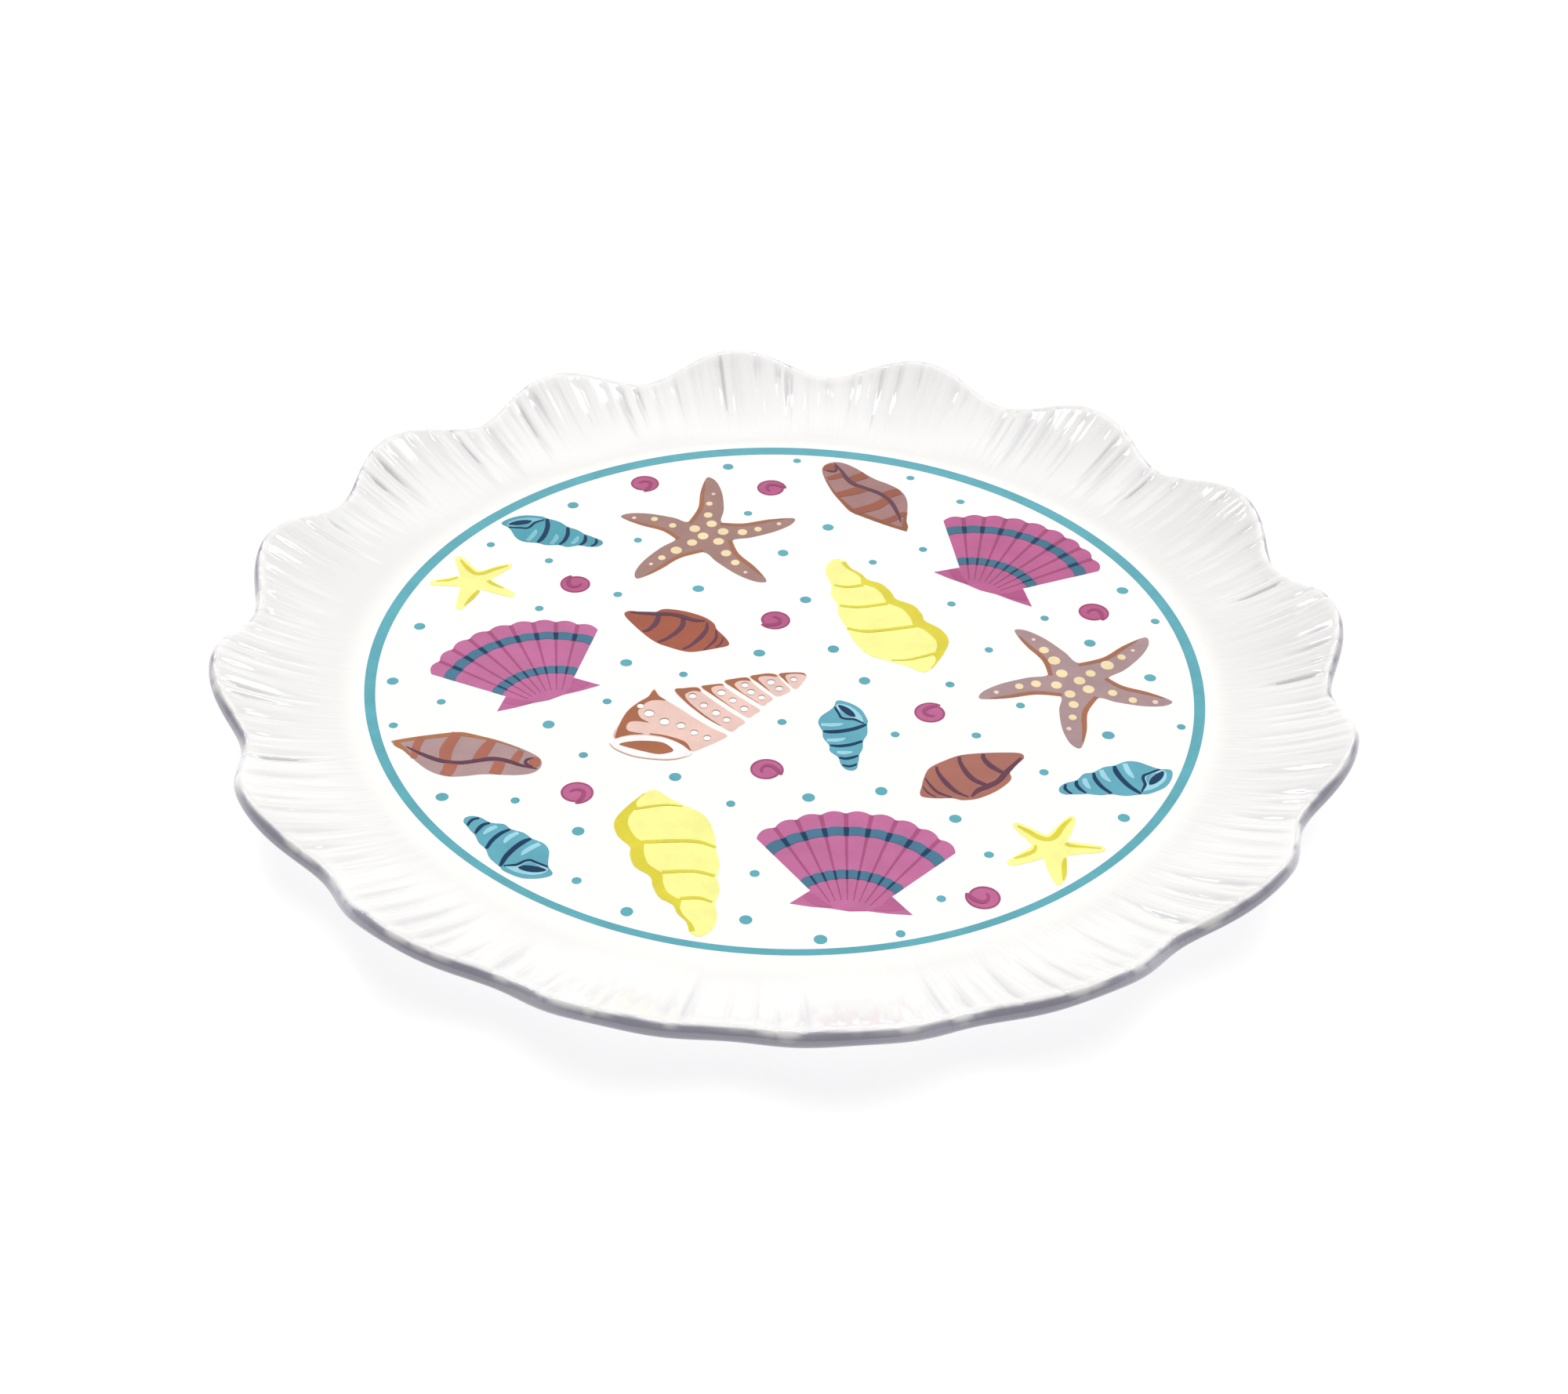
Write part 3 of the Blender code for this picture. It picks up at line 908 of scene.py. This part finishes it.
CONCH_STRAIGHT_SIDE = [
    (-10.8, 23.6), (-13, 20.6), (-13.1, 16.6), (-11.8, 12), (-11.8, 7.6), (-10.2, 3.2),
    (-10, -0.8), (-8.1, -6), (-6.2, -11.8), (-2.8, -17.2), (2.2, -19.6),
]
CONCH_BEAK = [(6.2, -21.4), (10.4, -23.8), (12.9, -21.8), (15.8, -15.8)]
CONCH_STEPPED_SIDE = [
    (17.1, -10.4), (15.2, -5.8), (11.5, -2.6), (10.8, 0.2), (8.8, 3.9), (4.6, 6.4),
    (3.2, 9.6), (0.8, 13), (-2.5, 14.6), (-4.2, 17.2), (-6.8, 19.6), (-8.2, 22.6),
]
CONCH_SHADE_INNER = [
    (-9.3, 21.9), (-8.1, 19.8), (-5.7, 17.5), (-4.4, 15.4), (-4.1, 12.8), (-2.5, 12.1),
    (-0.5, 10.8), (1.1, 8.2), (2.1, 5), (3.9, 3.8), (6.1, 2.2), (7.9, -1.4),
    (8.7, -4.5), (11.1, -6.2), (13.5, -9.6), (14.2, -12.4), (13.8, -14.9), (13.2, -16.7),
    (13.7, -17.8), (13.4, -20), (12.3, -22.2),
]
CONCH_WHORLS = [
    ([(-11, 11.9), (-7.7, 11.2), (-3.7, 12.3)], [0.4, 0.9, 1]),
    ([(-9.7, 3.1), (-4.7, 2.6), (2.3, 4.5)], [0.8, 0.9, 1]),
    ([(-7.8, -6.6), (-2.2, -7.6), (9.1, -4.8)], [0.7, 1, 1.1]),
    ([(2.9, -19.3), (7.3, -18.8), (13.5, -16)], [0.3, 0.6, 0.8]),
]


def conch_art():
    outline = smooth_loop(CONCH_STRAIGHT_SIDE + CONCH_BEAK + CONCH_STEPPED_SIDE)
    outer = smooth_path(CONCH_BEAK[2:] + CONCH_STEPPED_SIDE)
    inner = smooth_path(CONCH_SHADE_INNER)
    lines = brush_lines("olive_shade", *CONCH_WHORLS)
    return [[("yellow", outline)], [("olive_shade", outer + inner)], lines]


# The snail shell.

SNAIL_OUTLINE = [
    (-12.1, -7.6), (-9, -8.4), (-5, -8.2), (-2.5, -8.8), (1, -8), (5, -5.4),
    (8, -2.2), (8.9, -0.2), (8.7, 2), (10.7, 5), (12.2, 7.2), (11.3, 8.9), (6.5, 8.9),
    (1, 8.3), (-3, 7.3), (-6, 5.5), (-8.5, 3.7), (-10.2, 1.8), (-11.2, -1.3), (-11.7, -3.9),
]
SNAIL_LINES = [
    ([(2.9, 8.2), (2.8, 6.6), (4.4, 3.8), (6.9, 1.6)], [0.8, 1.1, 1.5, 1.1]),
    ([(-2.8, 6.9), (-2.6, 4.6), (-1.3, 1), (0.5, -1.6), (3.1, -3.2)],
     [0.8, 1, 1.3, 1.4, 1]),
    ([(-8.2, 3), (-7.8, 0.6), (-6, -3.1), (-3.8, -6), (-1.2, -7.6)],
     [0.6, 0.9, 1.3, 1, 0.4]),
    ([(-10.9, -1.3), (-10, -3.4), (-8.2, -6.2), (-5.1, -7.9)], [0.4, 0.6, 0.8, 0.4]),
    ([(-11.5, -4.3), (-10.5, -6.4), (-8.7, -7.9)], [0.3, 0.5, 0.3]),
]
SNAIL_LIP = (
    [(11.5, 7.1), (9.8, 4.6), (7.7, 1.5), (5.8, -1.6), (3.3, -3.6), (1, -5.2),
     (-0.5, -7.4)],
    [0.6, 1, 1.4, 1.3, 1.5, 1.2, 0.5],
)


def snail_art():
    lines = brush_lines("plum", *SNAIL_LINES)
    lip = brush_lines("plum", SNAIL_LIP)
    return [[("snail", smooth_loop(SNAIL_OUTLINE))], lines, lip]


# The olive shell.

OLIVE_OUTLINE = [
    (-17.7, 3.5), (-15.5, 1.5), (-12, -2.5), (-8, -6.5), (-4, -8.5), (0, -8.5),
    (5, -7.5), (12, -7.5), (16, -6.5), (17.7, -4), (17, -1), (13, 2),
    (6.5, 5.2), (-0.5, 7.3), (-2.5, 7.7), (-6, 7), (-11, 5.8), (-15, 4.5),
]
OLIVE_EDGE = (
    [(-11.9, -2.2), (-14, 0.5), (-16.3, 2.8), (-15.3, 3.9), (-11, 5.1),
     (-6, 6.3), (-2.5, 6.9), (0, 6.6), (6.5, 4.7), (12.4, 2)],
    [0.5, 0.9, 1.6, 1.1, 1.3, 1.4, 1.5, 1.3, 0.6, 0.25],
)
OLIVE_STRIPES = [
    ([(-10.8, 5.4), (-11.5, 2.5), (-11.6, 0), (-11.7, -2.4)], [1.9, 2, 1.8, 1.3]),
    ([(-2.8, 7.3), (-3.7, 4.5), (-4.6, 1), (-4.4, -3.1)], [2.5, 2.8, 3, 2.6]),
    ([(-2.9, -3.7), (-3.1, -6), (-3.8, -8.2)], [3.1, 3, 2.7]),
    ([(5.6, 4.9), (4.6, 2.5), (3.8, 0), (3.2, -2.6)], [2.1, 2.7, 3, 3]),
    ([(8.2, -2.5), (7.9, -4.8), (7.4, -7.2)], [2.6, 2.8, 2.8]),
    ([(12.6, 1.4), (12, -0.5), (11.4, -2.8)], [1.4, 2, 2.1]),
]
OLIVE_TIP_SPOT = (16.1, -2.7, 1.35, 1.9)
OLIVE_LINES = [
    ([(-13.9, 1.7), (-11, -0.3), (-6.5, -2.7), (-3.5, -3.5), (-0.5, -3.6),
      (3, -2.7), (6.2, -1.9), (9.5, -2.4), (13, -3.9), (16.8, -5.1)],
     [0.2, 0.8, 1.15, 1.05, 1.15, 1.15, 1.3, 1.2, 0.8, 0.2]),
    ([(15.6, -1.1), (14.3, -1.8), (14, -2.9), (14.7, -3.8), (15.8, -4.3)],
     [0.3, 0.7, 0.8, 0.65, 0.3]),
]


def olive_art():
    edge = brush_lines("ochre", OLIVE_EDGE)
    stripes = brush_lines("stripe", *OLIVE_STRIPES)
    stripes.append(("stripe", oval(*OLIVE_TIP_SPOT)))
    lines = brush_lines("plum", *OLIVE_LINES)
    return [[("mauve", smooth_loop(OLIVE_OUTLINE))], edge, stripes, lines]


# The whelk.

WHELK_OUTLINE = [
    (1.5, -13.1), (2.5, -12.2), (2.7, -10.8), (3, -8.7), (3.1, -7.2), (3.9, -4.7),
    (4, -2.1), (5, 0.8), (5, 4.3), (5.1, 6), (3.7, 9.8), (1.5, 12), (-1, 13.2),
    (-2.3, 12.9), (-2.8, 10.8), (-4, 9.1), (-5.9, 6.8), (-6.5, 4.3), (-5.5, 1.2),
    (-5.3, -1.2), (-3.9, -4), (-3.7, -6.2), (-1.8, -8.4), (-1.2, -11), (0, -12.7),
]
WHELK_PALE_MOUTH = [
    (-2.3, 11.3), (-0.9, 11.8), (1.1, 10.9), (2.7, 9.1), (3.7, 7.2), (4.1, 5),
    (3, 5.6), (1.7, 6.3), (-0.7, 6.6), (-1.5, 7.9), (-2, 9.6),
]
WHELK_SOFT_MOUTH = [(-1.5, 9.8), (-0.8, 8.5), (0.4, 7.5), (1.4, 6.8), (-0.2, 6.9),
                    (-1, 7.6)]
WHELK_DARK_MOUTH = [
    (-1.8, 11.3), (-0.5, 11), (1, 9.8), (2, 8.2), (2.2, 7), (1.1, 7.2),
    (-0.3, 8.3), (-1.3, 9.8),
]
WHELK_HIGHLIGHTS = [
    ([(-5.8, 3.7), (-3.5, 3.65), (-1.7, 3.9), (-0.6, 4.3)], [1.1, 1.3, 1.1, 0.3]),
    ([(-4.4, -2.1), (-2.3, -2.05), (-0.9, -1.6), (-0.1, -1.1)], [1, 1.3, 1, 0.3]),
    ([(-2.1, -6.5), (-0.7, -6.7), (0.7, -6.5), (1.6, -6.2)], [0.9, 1.3, 1, 0.3]),
]
WHELK_LINES = [
    ([(-5.3, 1.2), (-3.5, 1.05), (-1, 1.45), (1.8, 2.4), (3.7, 3.5), (4.8, 4.3)],
     [0.7, 1.25, 1.25, 1.2, 1, 0.6]),
    ([(-3.7, -4), (-1.5, -4.2), (1.3, -3.5), (3.8, -2.1)], [0.6, 1, 1, 0.75]),
    ([(-1.6, -8.4), (-0.3, -8.8), (1.3, -8.4), (2.8, -7.5)], [0.6, 0.9, 0.9, 0.5]),
    ([(-0.8, -11.1), (0.5, -11.6), (1.8, -11.2), (2.5, -10.6)], [0.5, 0.75, 0.65, 0.5]),
]
WHELK_COLUMELLA = (
    [(-2.7, 10.7), (-2.2, 9.5), (-1.6, 8), (-1.1, 6.7), (0, 6.2), (1.8, 6.1),
     (2.9, 5.5), (4.2, 4.6)],
    [0.4, 0.6, 0.6, 0.7, 0.7, 0.7, 0.6, 0.35],
)


def whelk_art():
    details = [("pale_blue", smooth_loop(WHELK_PALE_MOUTH))]
    details += brush_lines("pale_blue", *WHELK_HIGHLIGHTS)
    details += brush_lines("navy", *WHELK_LINES)
    mouth = [("sea_blue", smooth_loop(WHELK_SOFT_MOUTH))]
    mouth += brush_lines("navy", WHELK_COLUMELLA)
    dark = [("navy", smooth_loop(WHELK_DARK_MOUTH))]
    return [[("sea_blue", smooth_loop(WHELK_OUTLINE))], details, mouth, dark]


# The auger: a spire of separate whorls with white between them.

AUGER_WHORLS = [
    [(-22.3, -10.6), (-21.4, -4.5), (-20, 0.1), (-17.7, 3.6), (-15.4, 6), (-14.2, 9),
     (-12.8, 6.4), (-11, 4.5), (-7.5, 1.4), (-3, -2.9), (0.7, -6), (3.8, -8.2),
     (2, -10.3), (-1, -12.6), (-4, -14.6), (-8, -15.2), (-14, -13.5)],
    [(-9.4, 8.6), (-7, 9.6), (-3.8, 10), (-2.6, 8), (1, 4), (4.6, 0.4),
     (7.8, -2.8), (6.4, -4.8), (4.8, -6.7), (2.3, -4.9), (-0.5, -2.6), (-3.3, 0.2),
     (-6.3, 3.7)],
    [(-3.1, 10.2), (-1, 11.2), (1.9, 11.7), (2.7, 10.4), (4.7, 8.2), (8, 5),
     (11.2, 1.9), (10, 0.2), (8.5, -1.2), (5.5, 1.4), (2.7, 4.2), (-0.2, 7.1)],
    [(2.3, 12.6), (4.8, 13.9), (7.9, 14.5), (9, 12.8), (11.4, 9.6), (14.1, 6.6),
     (13, 4.8), (11.7, 3.6), (8.4, 6.6), (5.2, 9.6)],
    [(8.4, 14.8), (10.7, 15.9), (13, 16.4), (14.9, 16), (15.7, 14.4), (16.9, 12.4),
     (18.3, 9.9), (16.8, 8.2), (15.1, 7.4), (13, 9.5), (10.6, 12.3)],
    [(15.3, 16.2), (18, 17), (21.3, 17), (22.1, 15.8), (21.3, 13.4), (19.6, 10.4), (17.9, 12.2),
     (16.5, 14.2)],
]
AUGER_BROWNS = [
    [(-22.2, -10.2), (-21.3, -4.5), (-19.9, -0.1), (-17.6, 3.3), (-15.4, 5.7), (-14.2, 8.4),
     (-12.9, 6.2), (-11.1, 4.5), (-12.8, 4.6), (-14.6, 4.3), (-16, 3.1), (-17.2, 1),
     (-17.4, -0.7), (-16.5, -2.7), (-14.7, -4.2), (-17, -3.8), (-19, -4.1), (-19.8, -5.6),
     (-19.5, -7.3), (-18, -8), (-15.6, -8.5), (-18.5, -9), (-20.6, -9.7)],
    [(-9.2, 8.6), (-7, 9.5), (-4, 9.9), (-3, 8.4), (-4.6, 8.6), (-6.1, 7.9),
     (-6.7, 6.6), (-6, 4.8), (-4, 2), (-1, -1.5), (2.3, -4.7), (-0.6, -2.5),
     (-3.3, 0.3), (-6.2, 3.8)],
    [(-2.9, 10.2), (-1, 11.1), (1.6, 11.6), (2.3, 11), (0.6, 10.8), (-0.5, 9.9),
     (-0.3, 8.4), (1.4, 6), (5.4, 1.7), (2.8, 4.2), (-0.1, 7.1)],
    [(2.5, 12.6), (4.8, 13.8), (7.7, 14.4), (8.7, 13.1), (7.4, 13.3), (5.8, 12.9),
     (4.9, 11.7), (5.5, 10.2), (7.2, 8), (10.8, 4.6), (8.3, 6.7), (5.2, 9.7)],
    [(8.6, 14.8), (10.7, 15.8), (13, 16.3), (14.6, 15.9), (14.9, 15.1), (12.7, 15.3),
     (11, 14.9), (10.5, 13.8), (11.6, 12), (13.4, 9.3), (10.7, 12.3)],
    [(15.5, 16.2), (18, 16.9), (21.2, 16.9), (21.9, 15.6), (21.2, 16.3), (19.3, 16.5), (17.4, 16.1),
     (17, 15), (17.8, 12.5), (16.6, 14.2)],
]
AUGER_PEARLS = [
    (-17, 1.9, 0.8), (-14.8, -0.9, 1.15), (-11, -3.9, 1.15), (-7.1, -5.2, 1),
    (-3.9, -7.7, 0.85), (-0.8, -9.6, 0.85), (-4.9, 6.3, 0.9), (-2.1, 2.8, 0.85),
    (0.9, 0, 0.95), (3.5, -2.5, 0.85), (1.9, 7.9, 1), (4.7, 5.1, 0.85),
    (7.5, 1.9, 0.9), (7.4, 11.2, 0.85), (8.9, 8.5, 0.9), (11.5, 6.5, 0.8),
    (13.6, 12.6, 0.95), (15.6, 10.2, 0.85), (19, 14, 0.75),
]
PEARL_EDGE_LIFT = 0.28
PEARL_EDGE = (0.05, 0.1)
AUGER_MOUTH = [
    (-23.2, -12), (-20, -9.9), (-15.5, -9.2), (-10.5, -10.1), (-6.5, -12.3),
    (-4, -15), (-6, -17), (-11, -17.8), (-17, -17), (-21.6, -14.6),
]
AUGER_APERTURE = [
    (-21, -12.7), (-19, -11.7), (-15.5, -11.2), (-11.5, -11.5), (-9.3, -13),
    (-8.5, -14.8), (-11.5, -16), (-15, -15.2), (-19.5, -13.6),
]
AUGER_LIP = ([(-14.2, -8.5), (-11, -9.1), (-8, -10.4), (-6, -11.9), (-4.4, -14.4)],
             [0.3, 0.5, 0.9, 1.2, 0.3])
AUGER_RIM = (
    [(-5.2, -16.4), (-7.5, -17.4), (-11, -17.8), (-17, -17), (-21.6, -14.6), (-23.3, -12.4)],
    [0.2, 0.35, 0.4, 0.4, 0.35, 0.2],
)


def auger_art():
    whorls = [("blush", smooth_loop(points)) for points in AUGER_WHORLS]
    browns = [("brown", smooth_loop(points)) for points in AUGER_BROWNS]
    edges = []
    pearls = []
    for x, y, radius in AUGER_PEARLS:
        edge = oval(x, y + PEARL_EDGE_LIFT, radius + PEARL_EDGE[0], radius + PEARL_EDGE[1])
        edges.append(("pearl_edge", edge))
        pearls.append(("pearl", oval(x, y, radius, radius)))
    mouth = ("pearl", smooth_loop(AUGER_MOUTH))
    details = [("brown", smooth_loop(AUGER_APERTURE))]
    details += brush_lines("brown", AUGER_LIP)
    details += brush_lines("blush", AUGER_RIM)
    return [whorls, browns, edges + [mouth], pearls + details]


# The spiral.

SPIRAL_CURL = (
    [(0.4, -3.3), (1.2, -2.3), (1.7, -0.8), (1.5, 0.5), (0.4, 1.1),
     (-0.8, 0.8), (-1.4, 0.1)],
    [0.7, 1.1, 1.1, 1, 0.8, 0.7, 0.3],
)
SPIRAL_RADIUS = 4.1
SPIRAL_SHRINK = 0.7
SPIRAL_START = math.radians(-88)
SPIRAL_TURN = math.tau * 0.99
SPIRAL_STEPS = 48
SPIRAL_LINE_INSET = 0.3
SPIRAL_LINE_WIDTH = 0.35
SPIRAL_LINE_GROWTH = 0.5
SPIRAL_GROWTH_START = 0.6


def spiral_turn(inset):
    turn = []
    for i in range(SPIRAL_STEPS + 1):
        share = i / SPIRAL_STEPS
        radius = SPIRAL_RADIUS - SPIRAL_SHRINK * share - inset
        turn.append(polar(radius, SPIRAL_START + SPIRAL_TURN * share))
    return turn


def spiral_art():
    """One turn with a line just inside its edge, which widens near the end, and a curl."""
    line = spiral_turn(SPIRAL_LINE_INSET)
    shares = [i / len(line) for i in range(len(line))]
    grown = [SPIRAL_LINE_GROWTH * max(0.0, share - SPIRAL_GROWTH_START) for share in shares]
    widths = [SPIRAL_LINE_WIDTH + extra for extra in grown]
    curl = brush_lines("curl", SPIRAL_CURL)
    return [[("magenta", spiral_turn(0.0))], [("curl", stroke(line, widths))], curl]


# The spirals' places: (x, y, turn in degrees). Those at the back take the deeper tones.
BACK_SPIRALS = [(-39, 81, 0), (-5.2, 80.5, 90), (-53.3, 33.5, 200), (-3, 20.5, 300), (76.3, 27.6, 30)]
FRONT_SPIRALS = [(34.5, -15.4, 140), (-3.8, -38.4, 60), (-46.5, -48.6, 0), (44.2, -80.1, 250)]


def spiral_prints():
    arts = [darker(spiral_art()) for _ in BACK_SPIRALS] + [spiral_art() for _ in FRONT_SPIRALS]
    places = BACK_SPIRALS + FRONT_SPIRALS
    return [(f"spiral_{i + 1}", art, *place) for i, (art, place) in enumerate(zip(arts, places))]


# Every slot's motifs: (CAD node, layers, x, y, turn in degrees, scale), placed as in the CAD
# part. A motif without turn or scale is drawn as it lies.
PRINTS = [
    ("pink_enamel", [
        ("scallop_front", scallop_art(), 14.8, -90.8, -3.9),
        ("scallop_left", scallop_art(), -53.5, -18.9, 27.5, 0.98),
        ("scallop_right", darker(scallop_art(spread=0.95)), 46, 31.3, -28.5, 1.05),
    ]),
    ("brown_enamel", [
        ("starfish_back", starfish_art("star", *STARFISH_BACK), -22, 57),
        ("starfish_right", starfish_art("mauve_star", *STARFISH_RIGHT), 70.5, -1.5),
    ]),
    ("yellow_enamel", [
        ("small_star_front", small_star_art(*SMALL_STAR_FRONT), 60, -63),
        ("small_star_left", small_star_art(*SMALL_STAR_LEFT), -79, 33.8),
        ("conch_back", conch_art(), 22.7, 24.4),
        ("conch_front", conch_art(), -22.8, -71.1, 170, 0.96),
    ]),
    ("rust_enamel", [
        ("snail_front", snail_art(), 43.5, -38.6),
        ("snail_left", darker(snail_art()), -26.8, 15.8, 121.2),
    ]),
    ("mauve_enamel", [
        ("olive_left", olive_art(), -73, -35.5),
        ("olive_back", darker(olive_art()), 20.1, 77.5, 134.5, 1.05),
    ]),
    ("blue_enamel", [
        ("whelk_middle", whelk_art(), 14.5, -24.8),
        ("whelk_right", whelk_art(), 76.3, -39.2, -78.7, 1.05),
        ("whelk_back", darker(whelk_art()), -61.2, 56.2, 65.8, 1.06),
        ("whelk_front", whelk_art(), -60.2, -67.8, -138.3, 1.05),
    ]),
    ("blush_enamel", [("auger", auger_art(), -17, -18)]),
    ("magenta_enamel", spiral_prints()),
]

# The small dots between the motifs, in two sizes: (x, y).
BIG_DOTS = [
    (-17, 90.5), (-57, 69.5), (10, 62.5), (-1.5, 50), (84.5, 37.5), (-22.5, 33), (4.5, 29.5),
    (74.5, 14.5), (-90, 13.5), (11.5, 9), (-6.5, 6.5), (-38.5, 1), (88, 1), (19, -3.5),
    (-93.5, -9), (76, -22), (-55, -24), (-24.5, -42), (22.5, -45), (6, -48), (-76.5, -51.5),
    (39, -54), (77, -52), (-45, -62), (-32.5, -88), (-7, -89.5), (9, -95),
]
SMALL_DOTS = [
    (1.5, 94.5), (32, 87.5), (45, 76.5), (-11, 68), (-39, 54), (34.5, 53.5), (21.5, 47),
    (-76.5, 50), (-61, 43.5), (-42.5, 29.5), (41, 29.5), (-61.5, 22.5), (64, 24.5), (91.5, 24.5),
    (49.5, 10.5), (-24.5, -3), (39.5, -4), (56, -11.5), (-42, -14.5), (-81, -16.5), (93.5, -18),
    (-0.5, -20.5), (26, -24), (45, -23.5), (-91, -26), (60, -36.5), (-46, -35), (-11.5, -51),
    (-60, -52), (46, -66), (-5.5, -74.5), (-44, -78.5), (35, -81), (26, -92.5),
]
DOT_SIZES = [(1.43, BIG_DOTS), (1.08, SMALL_DOTS)]
DOT_UNEVENNESS = 0.04
DOT_SEED = 5


def make_prints():
    for slot, motifs in PRINTS:
        for node, layers, *place in motifs:
            make_print("print_" + node, layers, slot, (node,), *place)


def make_ring():
    """The teal ring round the edge of the well, printed a little wider at the back."""
    bm = bmesh.new()
    low = WELL_TOP + PRINT_GAP
    high = low + PRINT_THICKNESS
    inner = (RING_INNER, -RING_SHIFT)
    outer = (RING_OUTER, RING_SHIFT)
    rings = []
    for (radius, back), z in ((inner, low), (outer, low), (outer, high), (inner, high)):
        ring = add_plain_ring(bm, radius, z, AROUND_COARSE)
        bmesh.ops.translate(bm, vec=(0.0, back, 0.0), verts=ring)
        rings.append(ring)
    for i, ring in enumerate(rings):
        join_rings(bm, ring, rings[(i + 1) % len(rings)])
    new_piece("print_ring", bm, [ENAMELS["teal"]], "teal_enamel", "rim_band")


def make_dots():
    """The dots, each printed a little unevenly."""
    draw = random.Random(DOT_SEED)
    shapes = []
    for radius, places in DOT_SIZES:
        for x, y in places:
            across = radius * draw.uniform(1 - DOT_UNEVENNESS, 1 + DOT_UNEVENNESS)
            up = radius * draw.uniform(1 - DOT_UNEVENNESS, 1 + DOT_UNEVENNESS)
            shapes.append(("teal", oval(x, y, across, up)))
    make_print("print_dots", [shapes], "teal_enamel")


# --- the studio -------------------------------------------------------------

CAMERA_LENS = 59.0
CAMERA_SENSOR = 36.0
CAMERA_CLIP = 0.01
CAMERA_ELEVATION = math.radians(37.36)
CAMERA_ROLL = math.radians(1.64)
CAMERA_DISTANCE = 0.61087
CAMERA_TARGET = Vector((-0.0002, -0.0108, WELL_TOP * MM))

FLOOR_SIZE = 4.0
FLOOR_GAP = 0.0002
FLOOR_BRIGHTNESS = 1.8

# The lamps stand at both sides of the plate, this far out, back and up.
LAMP_PLACE = (0.6, 0.75, 0.95)
LAMP_SIZE = (0.14, 0.6)
LAMP_POWER = 2.6

# The room's light grows from behind the camera to beyond the plate: (Y of the direction, light).
ROOM_NEAR = (-0.9, 0.11)
ROOM_FAR = (0.8, 0.72)

# Soft round lights: (direction, cosine at the edge, cosine at the core, strength).
OVERHEAD_GLOW = ((0.08, 0.2, 0.976), 0.80, 0.97, 2.15)
BACKDROP_GLOW = ((0.0, 0.985, 0.17), 0.93, 1.0, 0.28)


def make_camera():
    data = bpy.data.cameras.new("camera")
    data.lens = CAMERA_LENS
    data.sensor_width = CAMERA_SENSOR
    data.clip_start = CAMERA_CLIP
    camera = add_object("camera", data)
    forward = Vector((0.0, math.cos(CAMERA_ELEVATION), -math.sin(CAMERA_ELEVATION)))
    level_right = Vector((1.0, 0.0, 0.0))
    level_up = level_right.cross(forward)
    right = math.cos(CAMERA_ROLL) * level_right + math.sin(CAMERA_ROLL) * level_up
    up = right.cross(forward)
    turn = Matrix((right, up, -forward)).transposed().to_4x4()
    camera.matrix_world = Matrix.Translation(CAMERA_TARGET - forward * CAMERA_DISTANCE) @ turn
    bpy.context.scene.camera = camera


def make_floor():
    """A plain pale floor, faintly uneven in tone."""
    bm = bmesh.new()
    bmesh.ops.create_grid(bm, x_segments=8, y_segments=8, size=FLOOR_SIZE)
    mesh = bpy.data.meshes.new("floor")
    bm.to_mesh(mesh)
    bm.free()
    material, tree, shader = new_shader("pale_floor")
    tone = mix_colours(tree, noise(tree, FLOOR_CLOUDS), *FLOOR_TONES)
    tree.links.new(tone, shader.inputs["Base Color"])
    tree.links.new(tone, shader.inputs["Emission Color"])
    shader.inputs["Emission Strength"].default_value = FLOOR_BRIGHTNESS
    shader.inputs["Roughness"].default_value = 0.9
    shader.inputs["Specular IOR Level"].default_value = 0.1
    mesh.materials.append(material)
    floor = add_object("floor", mesh)
    floor.location.z = -FLOOR_GAP


def make_lamps():
    """A small lamp at each side, which puts glints on the flutes."""
    for name, side in (("left_lamp", -1), ("right_lamp", 1)):
        data = bpy.data.lights.new(name, "AREA")
        data.shape = "RECTANGLE"
        data.size, data.size_y = LAMP_SIZE
        data.energy = LAMP_POWER
        out, back, up = LAMP_PLACE
        lamp = add_object(name, data)
        lamp.location = (side * out, back, up)
        lamp.rotation_euler = (-lamp.location).to_track_quat("-Z", "Y").to_euler()


def glow(tree, outward, centre, edge, core, strength):
    """A round soft light in the sky."""
    nearness = vector_node(tree, "DOT_PRODUCT", outward, centre)["Value"]
    return remap(tree, nearness, edge, core, 0.0, strength, "SMOOTHSTEP")


def make_world():
    """A white room, darker behind the camera, with a broad soft light overhead."""
    world = bpy.data.worlds.new("studio")
    bpy.context.scene.world = world
    world.use_nodes = True
    tree = world.node_tree
    background = tree.nodes["Background"]
    outward = tree.nodes.new("ShaderNodeTexCoord").outputs["Generated"]
    split = tree.nodes.new("ShaderNodeSeparateXYZ")
    tree.links.new(outward, split.inputs["Vector"])
    room = remap(tree, split.outputs["Y"], ROOM_NEAR[0], ROOM_FAR[0], ROOM_NEAR[1], ROOM_FAR[1])
    overhead = glow(tree, outward, *OVERHEAD_GLOW)
    glows = arithmetic(tree, "ADD", overhead, glow(tree, outward, *BACKDROP_GLOW))
    tree.links.new(arithmetic(tree, "ADD", room, glows), background.inputs["Strength"])
    background.inputs["Color"].default_value = (1.0, 1.0, 1.0, 1.0)


make_body()
make_ring()
make_prints()
make_dots()
make_floor()
make_camera()
make_lamps()
make_world()
bpy.context.scene.view_settings.view_transform = "Standard"
